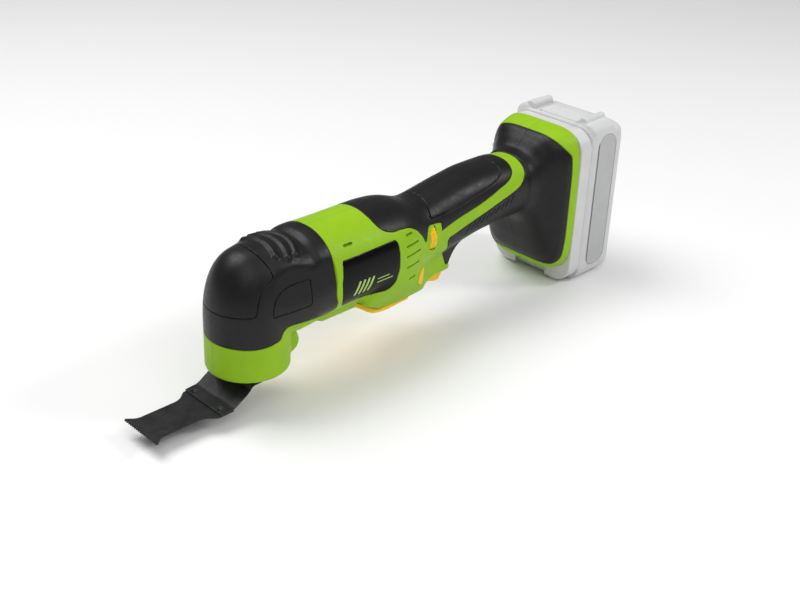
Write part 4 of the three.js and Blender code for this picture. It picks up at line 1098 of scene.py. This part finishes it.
def build_screws():
    points, quads = contour(screw, (-3.2, -16.2, -3.2), (3.2, 0.2, 3.2), 0.2)
    for i, (x, z, surface) in enumerate(SCREWS):
        name = f"housing_screw_{i + 1}"
        turn = np.array(Matrix.Rotation(0.7 * i, 3, "Y"))
        moved = points @ turn.T + (x, surface - SCREW_SUNK, z)
        settle(mesh_object(name, moved, quads), name, "housing")


def build_controls():
    build("speed_dial", speed_dial, (127, -25, 34.5), (135, -1, 58.5), 0.3, "dial")
    build("trigger", trigger, (129.5, -7.5, 3), (157.5, 7.5, 33.5), 0.35, "trigger_set")
    build("lock_button", lock_button, (118, -24, 16), (127, 24, 29.5), 0.35, "lock")
    build("release_lever", release_lever, (15, -15.5, 2.5), (122.5, 15.5, 18), 0.45, "lever")


def build_blade():
    build("blade_flange", blade_flange, (-14, -14, -4.8), (14, 14, 3), 0.35, "spindle_set")
    build("blade", blade, (-77.5, -18, -16.9), (18, 18, -3), 0.3, "spindle_set")
    build("clamp_bolt", clamp_bolt, (-9, -9, -7.8), (9, 9, 53.3), 0.4, "clamp")


def build_battery():
    build("battery_case_front", pack_front, (256, -35, -25), (268, 35, 87), 0.7, "battery")
    build("battery_case_rear", pack_rear, (267, -36, -27), (302, 36, 93), 0.8, "battery")
    build("battery_latch", pack_latch, (271.5, -16.5, 79.5), (288.5, 16.5, 88.6), 0.4, "latch")
    build_pair("battery_label", pack_label, (275, -35, -18), (294.5, -33, 79), 0.4, "battery")


BEVELLED = {"battery_shoe": 0.5, "terminal_block": 0.4, "trigger_switch": 0.5, "gearbox_case": 0.6,
            "battery_board": 0.2}


def dress_frame_parts():
    """Materials and bevels for the parts that are the frame's own."""
    for name, node in frame["nodes"].items():
        if node.hide_render:
            continue
        node.data.materials.clear()
        node.data.materials.append(MATERIALS[slot_of[name]])
        if name in BEVELLED:
            edge = node.modifiers.new("edge", "BEVEL")
            edge.width = BEVELLED[name] / 1000
            edge.segments = 2
            edge.limit_method = "ANGLE"
            edge.angle_limit = math.radians(50)


build_housing()
build_screws()
build_controls()
build_blade()
build_battery()
dress_frame_parts()


# ------------------------ floor, light and camera
LIGHTS = [  # name, place, size and power
    ("key", (-0.3, 0.55, 1.25), (0.9, 0.9), 12), ("fill", (-0.45, -0.9, 1.15), (1.4, 1), 6),
    ("top", (0.1, 0, 1.7), (1.6, 1.6), 4), ("glint", (0.87, -0.81, 0.9), (0.35, 0.35), 5.5),
]
LIGHT_AIM = (0, 0, 0.05)
WORLD_STRENGTH = 0.22


def make_floor():
    mesh = bpy.data.meshes.new("floor")
    form = bmesh.new()
    bmesh.ops.create_circle(form, cap_ends=True, segments=96, radius=9)
    form.to_mesh(mesh)
    form.free()
    floor = new_object("floor", mesh)
    material, tree, shader = new_material("floor", Roughness=0.6, Specular_IOR_Level=0.2)
    cloud = blend_colors(tree, noise(tree, 0.4), (0.94, 0.94, 0.94), (0.96, 0.96, 0.96))
    tree.links.new(cloud, shader.inputs["Base Color"])
    mesh.materials.append(material)


def make_light(name, location, size, watts):
    data = bpy.data.lights.new(name, "AREA")
    data.shape = "RECTANGLE"
    data.size, data.size_y = size
    data.energy = watts
    light = new_object(name, data)
    light.location = location
    light.rotation_mode = "QUATERNION"
    light.rotation_quaternion = (Vector(LIGHT_AIM) - Vector(location)).to_track_quat("-Z", "Y")


def make_world():
    world = bpy.data.worlds.new("studio")
    world.use_nodes = True
    set_inputs(world.node_tree.nodes["Background"], {"Color": (1, 1, 1, 1), "Strength": WORLD_STRENGTH})
    bpy.context.scene.world = world


def make_camera(position, azimuth, elevation, roll, lens, shift):
    a, e = math.radians(azimuth), math.radians(elevation)
    back = Vector((math.sin(a) * math.cos(e), -math.cos(a) * math.cos(e), math.sin(e)))
    data = bpy.data.cameras.new("camera")
    data.lens, data.sensor_width = lens, 36
    data.shift_x, data.shift_y = shift
    data.clip_start, data.clip_end = 0.01, 50
    camera = new_object("camera", data)
    camera.rotation_mode = "QUATERNION"
    turn = Matrix.Rotation(math.radians(roll), 3, "Z").to_quaternion()
    camera.rotation_quaternion = (-back).to_track_quat("-Z", "Y") @ turn
    camera.location = position
    bpy.context.scene.camera = camera


make_floor()
make_world()
for light in LIGHTS:
    make_light(*light)
make_camera((-0.4931, -0.4922, 0.4055), -41.2, 27.8, 0.3, 55.8, (0.11, -0.02125))
bpy.context.scene.view_settings.view_transform = "Standard"
